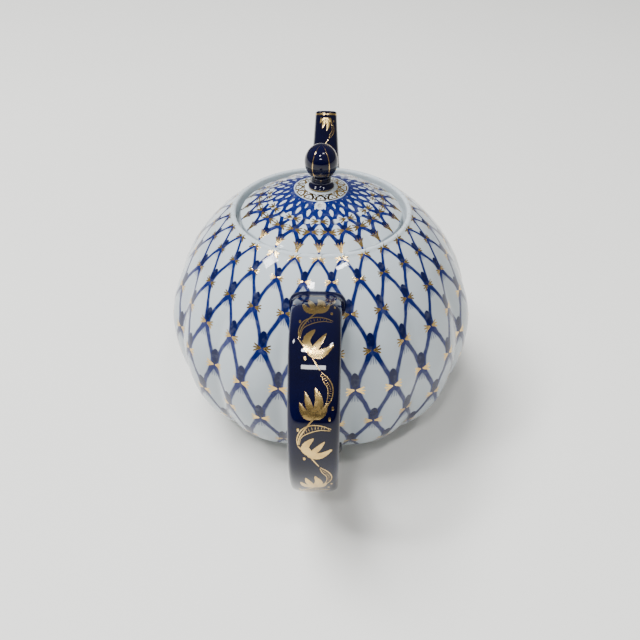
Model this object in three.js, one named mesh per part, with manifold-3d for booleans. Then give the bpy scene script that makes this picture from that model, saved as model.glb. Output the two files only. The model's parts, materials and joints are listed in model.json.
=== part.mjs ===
// A squat lobed porcelain teapot with a lift-off lid.
//
// Millimetres, +Z up. The origin is the centre of the foot's resting face, +X points to the spout and
// -X to the handle. Every piece that the pot is cast in is one named mesh: the hollow body with its
// foot, the spout, the strap handle, the lid and the knob. Pieces that are joined with slip on the
// real pot keep JOINT_GAP between them.

import * as THREE from "three";
import { mergeVertices } from "three/addons/utils/BufferGeometryUtils.js";
import Module from "manifold-3d";

const wasm = await Module();
wasm.setup();

// --- Driving dimensions -----------------------------------------------------------------------

// Clearances
const JOINT_GAP = 0.3; // between two pieces that are luted, or rest on each other
const LID_CLEARANCE = 1.7; // round the lid's edge, in the mouth
const FLANGE_CLEARANCE = 1.6; // round the lid's locating flange, in the throat

// Body
const BODY_RADIUS = 65; // over the lobes, at the widest level
const BODY_HEIGHT = 95.2; // foot face to rim
const WIDEST_HEIGHT = 46;
const LOBE_COUNT = 14;
const LOBE_DEPTH = 1.8; // ridge to groove, below the shoulder
const BODY_WALL = 3.6;
const SHOULDER_FULLNESS = 0.27; // share of the way that the sides stay upright, above the widest level
const SHOULDER_SPREAD = 0.64; // how far out the shoulder stays before it turns in to the rim
const SHOULDER_FALL = 0.26; // how steeply it leaves the rim
const BELLY_FULLNESS = 0.53; // share of the way that the sides stay upright, below the widest level
const BELLY_SPREAD = 0.77; // how far out the belly stays before it turns in to the foot

// Foot
const FOOT_RADIUS = 38;
const FOOT_HEIGHT = 4.6;
const FOOT_WIDTH = 3.6;
const FOOT_RECESS = 3; // height of the underside inside the foot ring

// Mouth
const MOUTH_RADIUS = 34.3;
const RIM_WIDTH = 2.3;
const RIM_ROUND = 0.8; // how far the rim's rounded edges drop
const LEDGE_DEPTH = 5.2; // rim to the ledge that carries the lid
const LEDGE_WIDTH = 4.2;
const LEDGE_THICKNESS = 3.6;

// Strainer, through the wall behind the spout
const STRAINER_HOLE = 3.6; // diameter
const STRAINER_PITCH = 6;
const STRAINER_REACH = 8; // from the middle hole to the outermost ones

// Spout
const SPOUT_ROOT_HEIGHT = 41;
const SPOUT_REACH = 28; // tip centre, beyond the body
const SPOUT_TIP_RISE = 1.8; // tip above the rim
const SPOUT_ROOT_WIDTH = 27;
const SPOUT_NECK_WIDTH = 14.4;
const SPOUT_TIP_WIDTH = 10.8;
const SPOUT_WALL = 2;
const SPOUT_SQUARENESS = 2.8; // 2 is an ellipse, and more is squarer

// Handle
const HANDLE_WIDTH = 17.2;
const HANDLE_THICKNESS = 6.6;
const HANDLE_FLARE = 1.06; // width at the ends, over the width of the grip
const HANDLE_REACH = 27.5; // grip centreline, beyond the body
const HANDLE_TOP_DROP = 13; // upper end's centre, below the rim
const HANDLE_FOOT_RISE = 17; // lower end's centre, above the table
const HANDLE_SQUARENESS = 3.6;

// Lid
const LID_CROWN_RISE = 9; // crown above the rim
const LID_EDGE_DROP = 1.6; // edge below the rim
const LID_WALL = 3;
const LID_LOBE_DEPTH = 0.5;
const CROWN_RADIUS = 5.8; // flat that the knob is luted to
const FLANGE_DEPTH = 9; // below the seat
const FLANGE_WALL = 2.6;
const VENT_DIAMETER = 2.2;
const VENT_RADIUS = 12.8; // centre of the vent, from the axis, on the handle's side

// Knob
const KNOB_HEIGHT = 17.3;
const KNOB_RADIUS = 6.45;
const KNOB_NECK_RADIUS = 3.8;
const KNOB_FOOT_RADIUS = 5.1;

// Fineness of the facets
const TURNS = LOBE_COUNT * 4; // facets round the body and the lid
const CURVE_STEPS = 9; // facets along the belly and along the shoulder
const KNOB_TURNS = 24;
const SECTION_SIDES = 16; // facets round the spout and the handle
const SPOUT_STEPS = 14; // rings along the spout
const HANDLE_STEPS = 30; // rings along the handle

// --- Solids -----------------------------------------------------------------------------------

// A closed geometry as a manifold solid, facing outwards.
function toSolid(geometry) {
  const bare = geometry.clone();
  bare.deleteAttribute("normal");
  bare.deleteAttribute("uv");
  const merged = mergeVertices(bare, 1e-4);
  const vertProperties = new Float32Array(merged.attributes.position.array);
  const triVerts = new Uint32Array(merged.index.array);
  const solid = new wasm.Manifold(new wasm.Mesh({ numProp: 3, vertProperties, triVerts }));
  if (solid.volume() > 0) return solid;
  for (let i = 0; i < triVerts.length; i += 3) {
    [triVerts[i], triVerts[i + 1]] = [triVerts[i + 1], triVerts[i]];
  }
  return new wasm.Manifold(new wasm.Mesh({ numProp: 3, vertProperties, triVerts }));
}

function toGeometry(solid) {
  const { vertProperties, triVerts, numProp } = solid.getMesh();
  const geometry = new THREE.BufferGeometry();
  const positions = new Float32Array((vertProperties.length / numProp) * 3);
  for (let i = 0; i < positions.length / 3; i++) {
    positions.set(vertProperties.subarray(i * numProp, i * numProp + 3), i * 3);
  }
  geometry.setAttribute("position", new THREE.BufferAttribute(positions, 3));
  geometry.setIndex(new THREE.BufferAttribute(new Uint32Array(triVerts), 1));
  geometry.computeVertexNormals();
  return geometry;
}

// A profile of (radius, height) points turned about Z. The profile starts and ends on the axis.
function turned(profile, turns) {
  return new THREE.LatheGeometry(profile, turns).rotateX(Math.PI / 2);
}

// Closed rings of points joined one to the next, with a flat cap at each end.
function lofted(rings) {
  const sides = rings[0].length;
  const positions = rings.flat().flatMap((p) => [p.x, p.y, p.z]);
  const index = [];
  for (let r = 0; r + 1 < rings.length; r++) {
    for (let s = 0; s < sides; s++) {
      const a = r * sides + s;
      const b = r * sides + ((s + 1) % sides);
      index.push(a, b, b + sides, a, b + sides, a + sides);
    }
  }
  const last = (rings.length - 1) * sides;
  for (let s = 1; s + 1 < sides; s++) {
    index.push(0, s + 1, s, last, last + s, last + s + 1);
  }
  const geometry = new THREE.BufferGeometry();
  geometry.setAttribute("position", new THREE.Float32BufferAttribute(positions, 3));
  geometry.setIndex(index);
  return geometry;
}

// A rounded-square section about a point of a path that lies in the XZ plane.
function sectionRing(centre, tangent, halfWidth, halfDepth, squareness) {
  const across = new THREE.Vector3(0, 1, 0);
  const outward = new THREE.Vector3().crossVectors(across, tangent).normalize();
  const ring = [];
  for (let s = 0; s < SECTION_SIDES; s++) {
    const angle = ((s + 0.5) / SECTION_SIDES) * 2 * Math.PI;
    const c = Math.cos(angle);
    const d = Math.sin(angle);
    const y = Math.sign(c) * Math.abs(c) ** (2 / squareness) * halfWidth;
    const n = Math.sign(d) * Math.abs(d) ** (2 / squareness) * halfDepth;
    ring.push(centre.clone().addScaledVector(across, y).addScaledVector(outward, n));
  }
  return ring;
}

// --- Body -------------------------------------------------------------------------------------

const RIM_RADIUS = MOUTH_RADIUS + RIM_WIDTH;
const THROAT_RADIUS = MOUTH_RADIUS - LEDGE_WIDTH;
const LEDGE_HEIGHT = BODY_HEIGHT - LEDGE_DEPTH;
const RIM_SHOULDER_HEIGHT = BODY_HEIGHT - RIM_ROUND;

// The outside of the body over its lobes, from the widest level up to the rim.
function shoulderCurve() {
  const rise = RIM_SHOULDER_HEIGHT - WIDEST_HEIGHT;
  const overhang = BODY_RADIUS - RIM_RADIUS;
  return new THREE.CubicBezierCurve(
    new THREE.Vector2(BODY_RADIUS, WIDEST_HEIGHT),
    new THREE.Vector2(BODY_RADIUS, WIDEST_HEIGHT + SHOULDER_FULLNESS * rise),
    new THREE.Vector2(RIM_RADIUS + SHOULDER_SPREAD * overhang, RIM_SHOULDER_HEIGHT - SHOULDER_FALL * rise),
    new THREE.Vector2(RIM_RADIUS, RIM_SHOULDER_HEIGHT),
  );
}

// The outside from the foot up to the widest level.
function bellyCurve() {
  const rise = WIDEST_HEIGHT - FOOT_HEIGHT;
  const overhang = BODY_RADIUS - FOOT_RADIUS;
  return new THREE.CubicBezierCurve(
    new THREE.Vector2(FOOT_RADIUS, FOOT_HEIGHT),
    new THREE.Vector2(FOOT_RADIUS + BELLY_SPREAD * overhang, FOOT_HEIGHT + 0.05 * rise),
    new THREE.Vector2(BODY_RADIUS, WIDEST_HEIGHT - BELLY_FULLNESS * rise),
    new THREE.Vector2(BODY_RADIUS, WIDEST_HEIGHT),
  );
}

// The outside from foot to rim, as points with the direction that faces out of the body there.
function outerStations() {
  const stations = [];
  for (const curve of [bellyCurve(), shoulderCurve()]) {
    for (let i = Math.sign(stations.length); i <= CURVE_STEPS; i++) {
      const tangent = curve.getTangent(i / CURVE_STEPS);
      const normal = new THREE.Vector2(tangent.y, -tangent.x);
      stations.push({ point: curve.getPoint(i / CURVE_STEPS), normal });
    }
  }
  return stations;
}

// The outside, moved outwards by growth.
function outerCurvePoints(growth) {
  return outerStations().map(({ point, normal }) => point.addScaledVector(normal, growth));
}

// Radius over the lobes at a height, read off the outside curve.
function bodyRadiusAt(height) {
  const points = outerCurvePoints(0);
  const upper = points.findIndex((p) => p.y >= height);
  if (upper < 1) return upper === 0 ? points[0].x : RIM_RADIUS;
  const [a, b] = [points[upper - 1], points[upper]];
  return a.x + ((b.x - a.x) * (height - a.y)) / (b.y - a.y);
}

// 0 on a lobe's ridge and 1 in the groove between two lobes. A ridge faces the spout.
function grooveAt(angle) {
  const lobe = (angle / (2 * Math.PI)) * LOBE_COUNT;
  return (2 * (lobe - Math.round(lobe))) ** 2;
}

// How deep the grooves are at a height: they run out at the rim and at the foot.
function lobeDepthAt(height) {
  const fromRim = THREE.MathUtils.smoothstep(RIM_SHOULDER_HEIGHT - height, 1, 0.45 * BODY_HEIGHT);
  const fromFoot = THREE.MathUtils.smoothstep(height - FOOT_HEIGHT, 0, 0.5 * (WIDEST_HEIGHT - FOOT_HEIGHT));
  return LOBE_DEPTH * fromRim * fromFoot;
}

// Presses the grooves into a turned shape, at the points that lie on or outside the outer curve.
function pressLobes(geometry) {
  const position = geometry.attributes.position;
  for (let i = 0; i < position.count; i++) {
    const [x, y, z] = [position.getX(i), position.getY(i), position.getZ(i)];
    const radius = Math.hypot(x, y);
    if (radius < bodyRadiusAt(z) - BODY_WALL / 4) continue;
    const depth = lobeDepthAt(z) * grooveAt(Math.atan2(y, x));
    position.setX(i, x * (1 - depth / radius));
    position.setY(i, y * (1 - depth / radius));
  }
  return geometry;
}

// The inside, from under the ledge down to the floor, a wall's thickness in from the grooves.
function cavityPoints() {
  const ceiling = LEDGE_HEIGHT - LEDGE_THICKNESS;
  const floor = Math.max(FOOT_RECESS, FOOT_HEIGHT) + BODY_WALL;
  const wall = outerStations()
    .reverse()
    .map(({ point, normal }) => point.addScaledVector(normal, -BODY_WALL - lobeDepthAt(point.y)))
    .filter((p) => p.y < ceiling && p.y > floor + 1 && p.x > THROAT_RADIUS);
  return [...wall, new THREE.Vector2(FOOT_RADIUS - FOOT_WIDTH, floor), new THREE.Vector2(0, floor)];
}

function makeBody() {
  const v = (x, y) => new THREE.Vector2(x, y);
  const footInner = FOOT_RADIUS - FOOT_WIDTH;
  const profile = [
    v(0, FOOT_RECESS),
    v(footInner - 0.6, FOOT_RECESS),
    v(footInner - 0.2, 0.6),
    v(footInner + 0.4, 0),
    v(FOOT_RADIUS - 0.9, 0),
    v(FOOT_RADIUS - 0.4, 0.6),
    ...outerCurvePoints(0),
    v(RIM_RADIUS - 0.45 * RIM_WIDTH, BODY_HEIGHT),
    v(MOUTH_RADIUS + 0.15 * RIM_WIDTH, BODY_HEIGHT - 0.25 * RIM_ROUND),
    v(MOUTH_RADIUS, BODY_HEIGHT - RIM_ROUND),
    v(MOUTH_RADIUS, LEDGE_HEIGHT),
    v(THROAT_RADIUS, LEDGE_HEIGHT),
    v(THROAT_RADIUS, LEDGE_HEIGHT - LEDGE_THICKNESS),
    ...cavityPoints(),
  ];
  const shell = toSolid(pressLobes(turned(profile, TURNS)));
  return shell.subtract(strainerHoles());
}

// Round holes through the wall, along X, on a staggered grid behind the spout's root.
function strainerHoles() {
  const length = BODY_RADIUS / 2;
  const rowPitch = STRAINER_PITCH * Math.sin(Math.PI / 3);
  const rows = Math.ceil(STRAINER_REACH / rowPitch);
  const columns = Math.ceil(STRAINER_REACH / STRAINER_PITCH);
  let holes = null;
  for (let row = -rows; row <= rows; row++) {
    for (let column = -columns; column <= columns; column++) {
      const y = (column + (Math.abs(row) % 2) / 2) * STRAINER_PITCH;
      const z = row * rowPitch;
      if (Math.hypot(y, z) > STRAINER_REACH) continue;
      const drill = new THREE.CylinderGeometry(STRAINER_HOLE / 2, STRAINER_HOLE / 2, length, 8)
        .rotateZ(Math.PI / 2)
        .translate(BODY_RADIUS - length / 4, y, SPOUT_ROOT_HEIGHT + z);
      holes = holes ? holes.add(toSolid(drill)) : toSolid(drill);
    }
  }
  return holes;
}

// The outside of the body, grown by the gap that a luted piece keeps from it, with no hollow in it.
function bodyKeepOut() {
  const v = (x, y) => new THREE.Vector2(x, y);
  const grown = outerCurvePoints(JOINT_GAP);
  const profile = [v(0, grown[0].y), ...grown, v(0, grown.at(-1).y)];
  return toSolid(pressLobes(turned(profile, TURNS)));
}

// --- Spout ------------------------------------------------------------------------------------

// The spout rises from the belly in an S and ends level with the rim. Stations along it are the
// centre, and half of the width and of the depth there.
function spoutStations() {
  const rootRadius = bodyRadiusAt(SPOUT_ROOT_HEIGHT);
  const tipX = BODY_RADIUS + SPOUT_REACH;
  const tipZ = BODY_HEIGHT + SPOUT_TIP_RISE;
  const rise = tipZ - SPOUT_ROOT_HEIGHT;
  const root = SPOUT_ROOT_WIDTH / 2;
  const neck = SPOUT_NECK_WIDTH / 2;
  const tip = SPOUT_TIP_WIDTH / 2;
  return [
    { x: rootRadius - 14, z: SPOUT_ROOT_HEIGHT - 6, width: root * 1.04, depth: root * 1.15 },
    { x: rootRadius + 2, z: SPOUT_ROOT_HEIGHT + 0.04 * rise, width: root * 0.86, depth: root * 0.92 },
    { x: rootRadius + 12, z: SPOUT_ROOT_HEIGHT + 0.26 * rise, width: neck * 1.25, depth: neck * 1.3 },
    { x: tipX - 11, z: SPOUT_ROOT_HEIGHT + 0.6 * rise, width: neck, depth: neck * 0.98 },
    { x: tipX - 4.5, z: SPOUT_ROOT_HEIGHT + 0.84 * rise, width: tip * 1.12, depth: tip * 1.08 },
    { x: tipX, z: tipZ, width: tip, depth: tip * 0.95 },
  ];
}

// Rings along the stations, with the section drawn in by inset and the ends run on by overrun.
function spoutRings(inset, overrun) {
  const stations = spoutStations();
  const centres = stations.map((s) => new THREE.Vector3(s.x, 0, s.z));
  const path = new THREE.CatmullRomCurve3(centres, false, "centripetal");
  const sizes = new THREE.CatmullRomCurve3(
    stations.map((s) => new THREE.Vector3(s.width, s.depth, 0)),
    false,
    "centripetal",
  );
  const rings = [];
  for (let i = 0; i <= SPOUT_STEPS; i++) {
    const t = i / SPOUT_STEPS;
    const size = sizes.getPoint(t);
    const [halfWidth, halfDepth] = [size.x - inset, size.y - inset];
    rings.push(sectionRing(path.getPoint(t), path.getTangent(t), halfWidth, halfDepth, SPOUT_SQUARENESS));
  }
  if (overrun > 0) {
    const ahead = path.getTangent(1).multiplyScalar(overrun);
    rings.push(rings.at(-1).map((p) => p.clone().add(ahead)));
  }
  return rings;
}

function makeSpout() {
  const outside = toSolid(lofted(spoutRings(0, 0)));
  const channel = toSolid(lofted(spoutRings(SPOUT_WALL, 3)));
  return outside.subtract(channel).subtract(bodyKeepOut());
}

// --- Handle -----------------------------------------------------------------------------------

// An ear-shaped loop: it leaves the shoulder level, turns down outside the belly and comes back in.
function handlePath() {
  const topZ = BODY_HEIGHT - HANDLE_TOP_DROP;
  const footZ = HANDLE_FOOT_RISE;
  const span = topZ - footZ;
  const grip = BODY_RADIUS + HANDLE_REACH;
  const shoulder = bodyRadiusAt(topZ);
  const belly = bodyRadiusAt(footZ);
  const inside = (share) => grip - share * HANDLE_REACH;
  const route = [
    [shoulder - 8, topZ - 4],
    [shoulder + 4, topZ + 3],
    [shoulder + 0.32 * (grip - shoulder), topZ + 0.1 * span],
    [shoulder + 0.59 * (grip - shoulder), topZ + 0.07 * span],
    [inside(0.31), topZ - 0.08 * span],
    [inside(0.07), topZ - 0.26 * span],
    [inside(0), topZ - 0.5 * span],
    [inside(0.12), footZ + 0.3 * span],
    [inside(0.35), footZ + 0.14 * span],
    [inside(0.71), footZ + 0.04 * span],
    [belly + 2, footZ + 0.5],
    [belly - 9, footZ + 4],
  ];
  const points = route.map(([x, z]) => new THREE.Vector3(-x, 0, z));
  return new THREE.CatmullRomCurve3(points, false, "centripetal");
}

function makeHandle() {
  const path = handlePath();
  const rings = [];
  for (let i = 0; i <= HANDLE_STEPS; i++) {
    const t = i / HANDLE_STEPS;
    const end = Math.abs(2 * t - 1) ** 4;
    const flare = 1 + (HANDLE_FLARE - 1) * end;
    const halfWidth = (HANDLE_WIDTH / 2) * flare;
    const halfDepth = (HANDLE_THICKNESS / 2) * (1 + 0.25 * end);
    const [centre, tangent] = [path.getPointAt(t), path.getTangentAt(t)];
    rings.push(sectionRing(centre, tangent, halfWidth, halfDepth, HANDLE_SQUARENESS));
  }
  return toSolid(lofted(rings)).subtract(bodyKeepOut());
}

// --- Lid --------------------------------------------------------------------------------------

const LID_RADIUS = MOUTH_RADIUS - LID_CLEARANCE;
const LID_SEAT = LEDGE_HEIGHT + JOINT_GAP;
const LID_CROWN = BODY_HEIGHT + LID_CROWN_RISE;
const LID_EDGE = BODY_HEIGHT - LID_EDGE_DROP;

function lidDome() {
  const fall = LID_CROWN - LID_EDGE;
  const run = LID_RADIUS - CROWN_RADIUS;
  return new THREE.CubicBezierCurve(
    new THREE.Vector2(CROWN_RADIUS, LID_CROWN),
    new THREE.Vector2(CROWN_RADIUS + 0.34 * run, LID_CROWN - 0.08 * fall),
    new THREE.Vector2(LID_RADIUS - 0.2 * run, LID_EDGE + 0.42 * fall),
    new THREE.Vector2(LID_RADIUS, LID_EDGE),
  );
}

// Lowers the dome along the same grooves as the body's, most where the dome is widest.
function pressLidLobes(geometry) {
  const position = geometry.attributes.position;
  const dome = lidDome().getPoints(CURVE_STEPS);
  for (let i = 0; i < position.count; i++) {
    const [x, y, z] = [position.getX(i), position.getY(i), position.getZ(i)];
    const radius = Math.hypot(x, y);
    const onDome = dome.some((p) => Math.abs(p.x - radius) < 1e-3 && Math.abs(p.y - z) < 1e-3);
    if (!onDome) continue;
    const spread = THREE.MathUtils.smoothstep(radius, 0.35 * LID_RADIUS, 0.85 * LID_RADIUS);
    position.setZ(i, z - LID_LOBE_DEPTH * spread * grooveAt(Math.atan2(y, x)));
  }
  return geometry;
}

function makeLid() {
  const v = (x, y) => new THREE.Vector2(x, y);
  const flange = THROAT_RADIUS - FLANGE_CLEARANCE;
  const flangeFoot = LID_SEAT - FLANGE_DEPTH;
  const underside = lidDome().getPoints(4).filter((p) => p.x < flange - FLANGE_WALL - 1);
  const profile = [
    v(0, LID_CROWN),
    ...lidDome().getPoints(CURVE_STEPS),
    v(LID_RADIUS, LID_SEAT + 0.6),
    v(LID_RADIUS - 0.6, LID_SEAT),
    v(flange, LID_SEAT),
    v(flange, flangeFoot + 0.8),
    v(flange - 0.8, flangeFoot),
    v(flange - FLANGE_WALL + 0.6, flangeFoot),
    v(flange - FLANGE_WALL, flangeFoot + 0.8),
    v(flange - FLANGE_WALL, LID_SEAT),
    ...underside.reverse().map((p) => v(p.x, p.y - LID_WALL)),
    v(0, LID_CROWN - LID_WALL),
  ];
  const dome = toSolid(pressLidLobes(turned(profile, TURNS)));
  const vent = new THREE.CylinderGeometry(VENT_DIAMETER / 2, VENT_DIAMETER / 2, 4 * LID_WALL, 12)
    .rotateX(Math.PI / 2)
    .translate(-VENT_RADIUS, 0, LID_CROWN - LID_WALL / 2);
  return dome.subtract(toSolid(vent));
}

// --- Knob -------------------------------------------------------------------------------------

// A bud on a short neck, with a flared foot that is luted to the lid's crown.
function makeKnob() {
  const v = (x, y) => new THREE.Vector2(x, y);
  const base = LID_CROWN + JOINT_GAP;
  const neckHeight = 0.19 * KNOB_HEIGHT;
  const top = base + KNOB_HEIGHT;
  const budBottom = base + neckHeight;
  const centre = budBottom + 0.5 * (top - budBottom);
  const bud = [];
  for (let i = 0; i <= 10; i++) {
    const angle = -Math.PI / 2 + (i / 10) * Math.PI;
    const half = angle > 0 ? top - centre : centre - budBottom;
    const radius = KNOB_RADIUS * Math.cos(angle);
    if (angle < 0 && radius < KNOB_NECK_RADIUS) continue;
    bud.push(v(i === 10 ? 0 : radius, centre + half * Math.sin(angle)));
  }
  const profile = [
    v(0, base),
    v(KNOB_FOOT_RADIUS - 0.2, base),
    v(KNOB_FOOT_RADIUS, base + 0.4),
    v(KNOB_FOOT_RADIUS - 0.1, base + 0.9),
    v(KNOB_NECK_RADIUS, base + 0.62 * neckHeight),
    ...bud,
  ];
  return toSolid(turned(profile, KNOB_TURNS));
}

// --- Assembly ---------------------------------------------------------------------------------

function piece(name, solid, color, roughness, metalness) {
  const material = new THREE.MeshStandardMaterial({ color, roughness, metalness });
  const mesh = new THREE.Mesh(toGeometry(solid), material);
  mesh.name = name;
  return mesh;
}

const PORCELAIN = 0xe9eef2;
const COBALT = 0x0a1a5c;

const pot = new THREE.Group();
pot.add(piece("pot_body", makeBody(), PORCELAIN, 0.1, 0));
pot.add(piece("spout", makeSpout(), COBALT, 0.08, 0));
pot.add(piece("handle", makeHandle(), COBALT, 0.08, 0));

const cover = new THREE.Group();
cover.add(piece("lid", makeLid(), PORCELAIN, 0.1, 0));
cover.add(piece("knob", makeKnob(), COBALT, 0.08, 0));

const teapot = new THREE.Group();
teapot.add(pot, cover);

export default teapot;
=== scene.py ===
# %% [markdown]
# # A lobed porcelain teapot with a cobalt net
#
# The object is a squat porcelain pot. Its body is pressed into fourteen lobes, a net of cobalt lines
# runs over it under the glaze, and a small gold star sits on each crossing of the net. The handle, the
# spout and the knob are covered in solid cobalt and gilded with a running vine.
#
# The packed CAD model gives the frame: where each piece is and which body it moves with. Its facets are
# plain, so every piece is rebuilt here with a fine surface that fills the same space.

# %% Load the frame
import json
import math

import bmesh
import bpy
import numpy as np
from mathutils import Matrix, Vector

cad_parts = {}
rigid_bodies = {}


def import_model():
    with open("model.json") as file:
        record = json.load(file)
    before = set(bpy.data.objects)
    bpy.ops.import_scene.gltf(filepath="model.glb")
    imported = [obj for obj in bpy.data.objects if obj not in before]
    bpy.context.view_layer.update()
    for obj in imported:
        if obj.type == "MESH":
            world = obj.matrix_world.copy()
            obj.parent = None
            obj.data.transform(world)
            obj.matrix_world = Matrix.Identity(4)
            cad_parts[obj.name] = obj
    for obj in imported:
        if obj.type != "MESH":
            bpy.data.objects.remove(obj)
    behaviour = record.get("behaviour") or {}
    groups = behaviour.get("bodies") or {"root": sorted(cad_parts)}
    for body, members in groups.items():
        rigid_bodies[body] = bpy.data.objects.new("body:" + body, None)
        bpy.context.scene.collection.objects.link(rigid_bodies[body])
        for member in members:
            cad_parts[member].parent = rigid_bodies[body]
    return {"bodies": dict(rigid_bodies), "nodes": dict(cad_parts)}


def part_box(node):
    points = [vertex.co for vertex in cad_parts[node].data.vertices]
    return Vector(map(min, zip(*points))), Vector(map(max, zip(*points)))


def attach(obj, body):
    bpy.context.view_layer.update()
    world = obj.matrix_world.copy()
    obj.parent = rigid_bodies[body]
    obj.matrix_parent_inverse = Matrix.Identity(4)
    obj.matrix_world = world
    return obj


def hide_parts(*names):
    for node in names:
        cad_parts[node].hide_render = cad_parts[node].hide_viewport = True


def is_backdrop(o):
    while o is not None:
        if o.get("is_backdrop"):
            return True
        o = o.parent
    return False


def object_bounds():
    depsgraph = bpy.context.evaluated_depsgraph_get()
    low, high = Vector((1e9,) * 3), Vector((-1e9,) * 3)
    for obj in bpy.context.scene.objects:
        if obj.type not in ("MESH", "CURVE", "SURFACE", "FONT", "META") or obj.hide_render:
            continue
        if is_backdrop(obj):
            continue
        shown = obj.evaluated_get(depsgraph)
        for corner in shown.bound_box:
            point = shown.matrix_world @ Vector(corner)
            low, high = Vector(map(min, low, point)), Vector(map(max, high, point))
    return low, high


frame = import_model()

cad_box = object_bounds()
MM = 0.001
print("bodies:", sorted(frame["bodies"]), "nodes:", sorted(frame["nodes"]))

# %% [markdown]
# ## Measuring the frame
#
# Heights and radii that the CAD pieces already have are read from their boxes, in millimetres, so the
# fine surfaces can't drift from the frame. A potter would take the same few sizes with callipers.

# %% Sizes read from the CAD pieces
def box_mm(node):
    low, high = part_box(node)
    return [round(1000 * v, 3) for v in low], [round(1000 * v, 3) for v in high]


BODY_RADIUS = box_mm("pot_body")[1][0]
BODY_HEIGHT = box_mm("pot_body")[1][2]
LID_RADIUS = box_mm("lid")[1][0]
LID_CROWN = box_mm("lid")[1][2]
FLANGE_FOOT = box_mm("lid")[0][2]
KNOB_BASE = box_mm("knob")[0][2]
KNOB_TOP = box_mm("knob")[1][2]
KNOB_RADIUS = box_mm("knob")[1][0]
print(f"body {BODY_RADIUS} x {BODY_HEIGHT} mm, lid {LID_RADIUS} mm, crown at {LID_CROWN} mm")

# %% [markdown]
# ## A small kit for node trees
#
# Shader maths is easier to read as `1 - mask` than as a pile of nodes. `Wire` holds one output socket
# and turns Python's operators into Math nodes. `Bench` adds any other node: its settings are set first,
# then its sockets get values or wires. The same two classes serve shaders and Geometry Nodes.

# %% Wires and benches
class Wire:
    """One output socket. Arithmetic on it adds Math nodes to the tree that it is in."""

    def __init__(self, bench, socket):
        self.bench = bench
        self.socket = socket

    def maths(self, operation, *values):
        node = self.bench.add("ShaderNodeMath", {"operation": operation}, dict(enumerate(values)))
        return node["Value"]

    def __add__(self, other):
        return self.maths("ADD", self, other)

    def __radd__(self, other):
        return self.maths("ADD", other, self)

    def __sub__(self, other):
        return self.maths("SUBTRACT", self, other)

    def __rsub__(self, other):
        return self.maths("SUBTRACT", other, self)

    def __mul__(self, other):
        return self.maths("MULTIPLY", self, other)

    def __rmul__(self, other):
        return self.maths("MULTIPLY", other, self)

    def __truediv__(self, other):
        return self.maths("DIVIDE", self, other)

    def __rtruediv__(self, other):
        return self.maths("DIVIDE", other, self)

    def __pow__(self, other):
        return self.maths("POWER", self, other)

    def __abs__(self):
        return self.maths("ABSOLUTE", self)

    def floor(self):
        return self.maths("FLOOR", self)

    def wrap(self):
        return self.maths("FRACT", self)

    def least(self, other):
        return self.maths("MINIMUM", self, other)

    def most(self, other):
        return self.maths("MAXIMUM", self, other)

    def off_whole(self):
        """How far the value is from the nearest whole number, from -0.5 to 0.5."""
        return (self + 0.5).wrap() - 0.5


class Node:
    """A node just added: node["Name"] or node[0] is one of its outputs as a Wire."""

    def __init__(self, bench, node):
        self.bench = bench
        self.node = node

    def __getitem__(self, key):
        return Wire(self.bench, self.node.outputs[key])


class Bench:
    """Adds nodes to one tree."""

    def __init__(self, tree):
        self.tree = tree

    def add(self, kind, settings=None, sockets=None):
        node = self.tree.nodes.new(kind)
        for name, value in (settings or {}).items():
            setattr(node, name, value)
        for key, value in (sockets or {}).items():
            if isinstance(value, Wire):
                self.tree.links.new(value.socket, node.inputs[key])
            else:
                node.inputs[key].default_value = value
        return Node(self, node)

    def smooth(self, value, low, high):
        """0 up to low, 1 from high, with a soft step between them."""
        settings = {"interpolation_type": "SMOOTHSTEP"}
        return self.add("ShaderNodeMapRange", settings, {0: value, 1: low, 2: high})[0]

    def blend(self, share, first, second):
        """The colour first where share is 0 and second where it is 1."""
        return self.add("ShaderNodeMix", {"data_type": "RGBA"}, {0: share, 6: first, 7: second})[2]

    def noise(self, place, scale, detail=2.0, roughness=0.5):
        sockets = {"Vector": place, "Scale": scale, "Detail": detail, "Roughness": roughness}
        return self.add("ShaderNodeTexNoise", {}, sockets)["Fac"]

    def split(self, vector):
        node = self.add("ShaderNodeSeparateXYZ", {}, {0: vector})
        return node[0], node[1], node[2]

    def join(self, x, y, z):
        return self.add("ShaderNodeCombineXYZ", {}, {0: x, 1: y, 2: z})[0]


print("operators on a wire:", sum(name.startswith("__") for name in vars(Wire)))

# %% [markdown]
# ## Running a Geometry Nodes recipe
#
# A recipe is a node tree with named inputs. It is put on an object as a modifier, its inputs are set by
# the socket's identifier, and the evaluated result is taken off as a plain mesh. The modifier then goes,
# so what is left is an ordinary object at the origin.

# %% Recipes
WELD = 1e-6


def new_recipe(name, inputs):
    """A Geometry Nodes tree with a geometry input, the named inputs, and a bench to build it on."""
    tree = bpy.data.node_groups.new(name, "GeometryNodeTree")
    tree.interface.new_socket("Geometry", in_out="OUTPUT", socket_type="NodeSocketGeometry")
    tree.interface.new_socket("Geometry", in_out="INPUT", socket_type="NodeSocketGeometry")
    for label, kind in inputs:
        tree.interface.new_socket(label, in_out="INPUT", socket_type="NodeSocket" + kind)
    bench = Bench(tree)
    return bench, bench.add("NodeGroupInput")


def end_recipe(bench, geometry, material):
    """Realize Instances and Set Material, then the output."""
    real = bench.add("GeometryNodeRealizeInstances", {}, {0: geometry})[0]
    done = bench.add("GeometryNodeSetMaterial", {}, {"Geometry": real, "Material": material})[0]
    bench.add("NodeGroupOutput", {}, {0: done})
    return bench.tree


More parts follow.
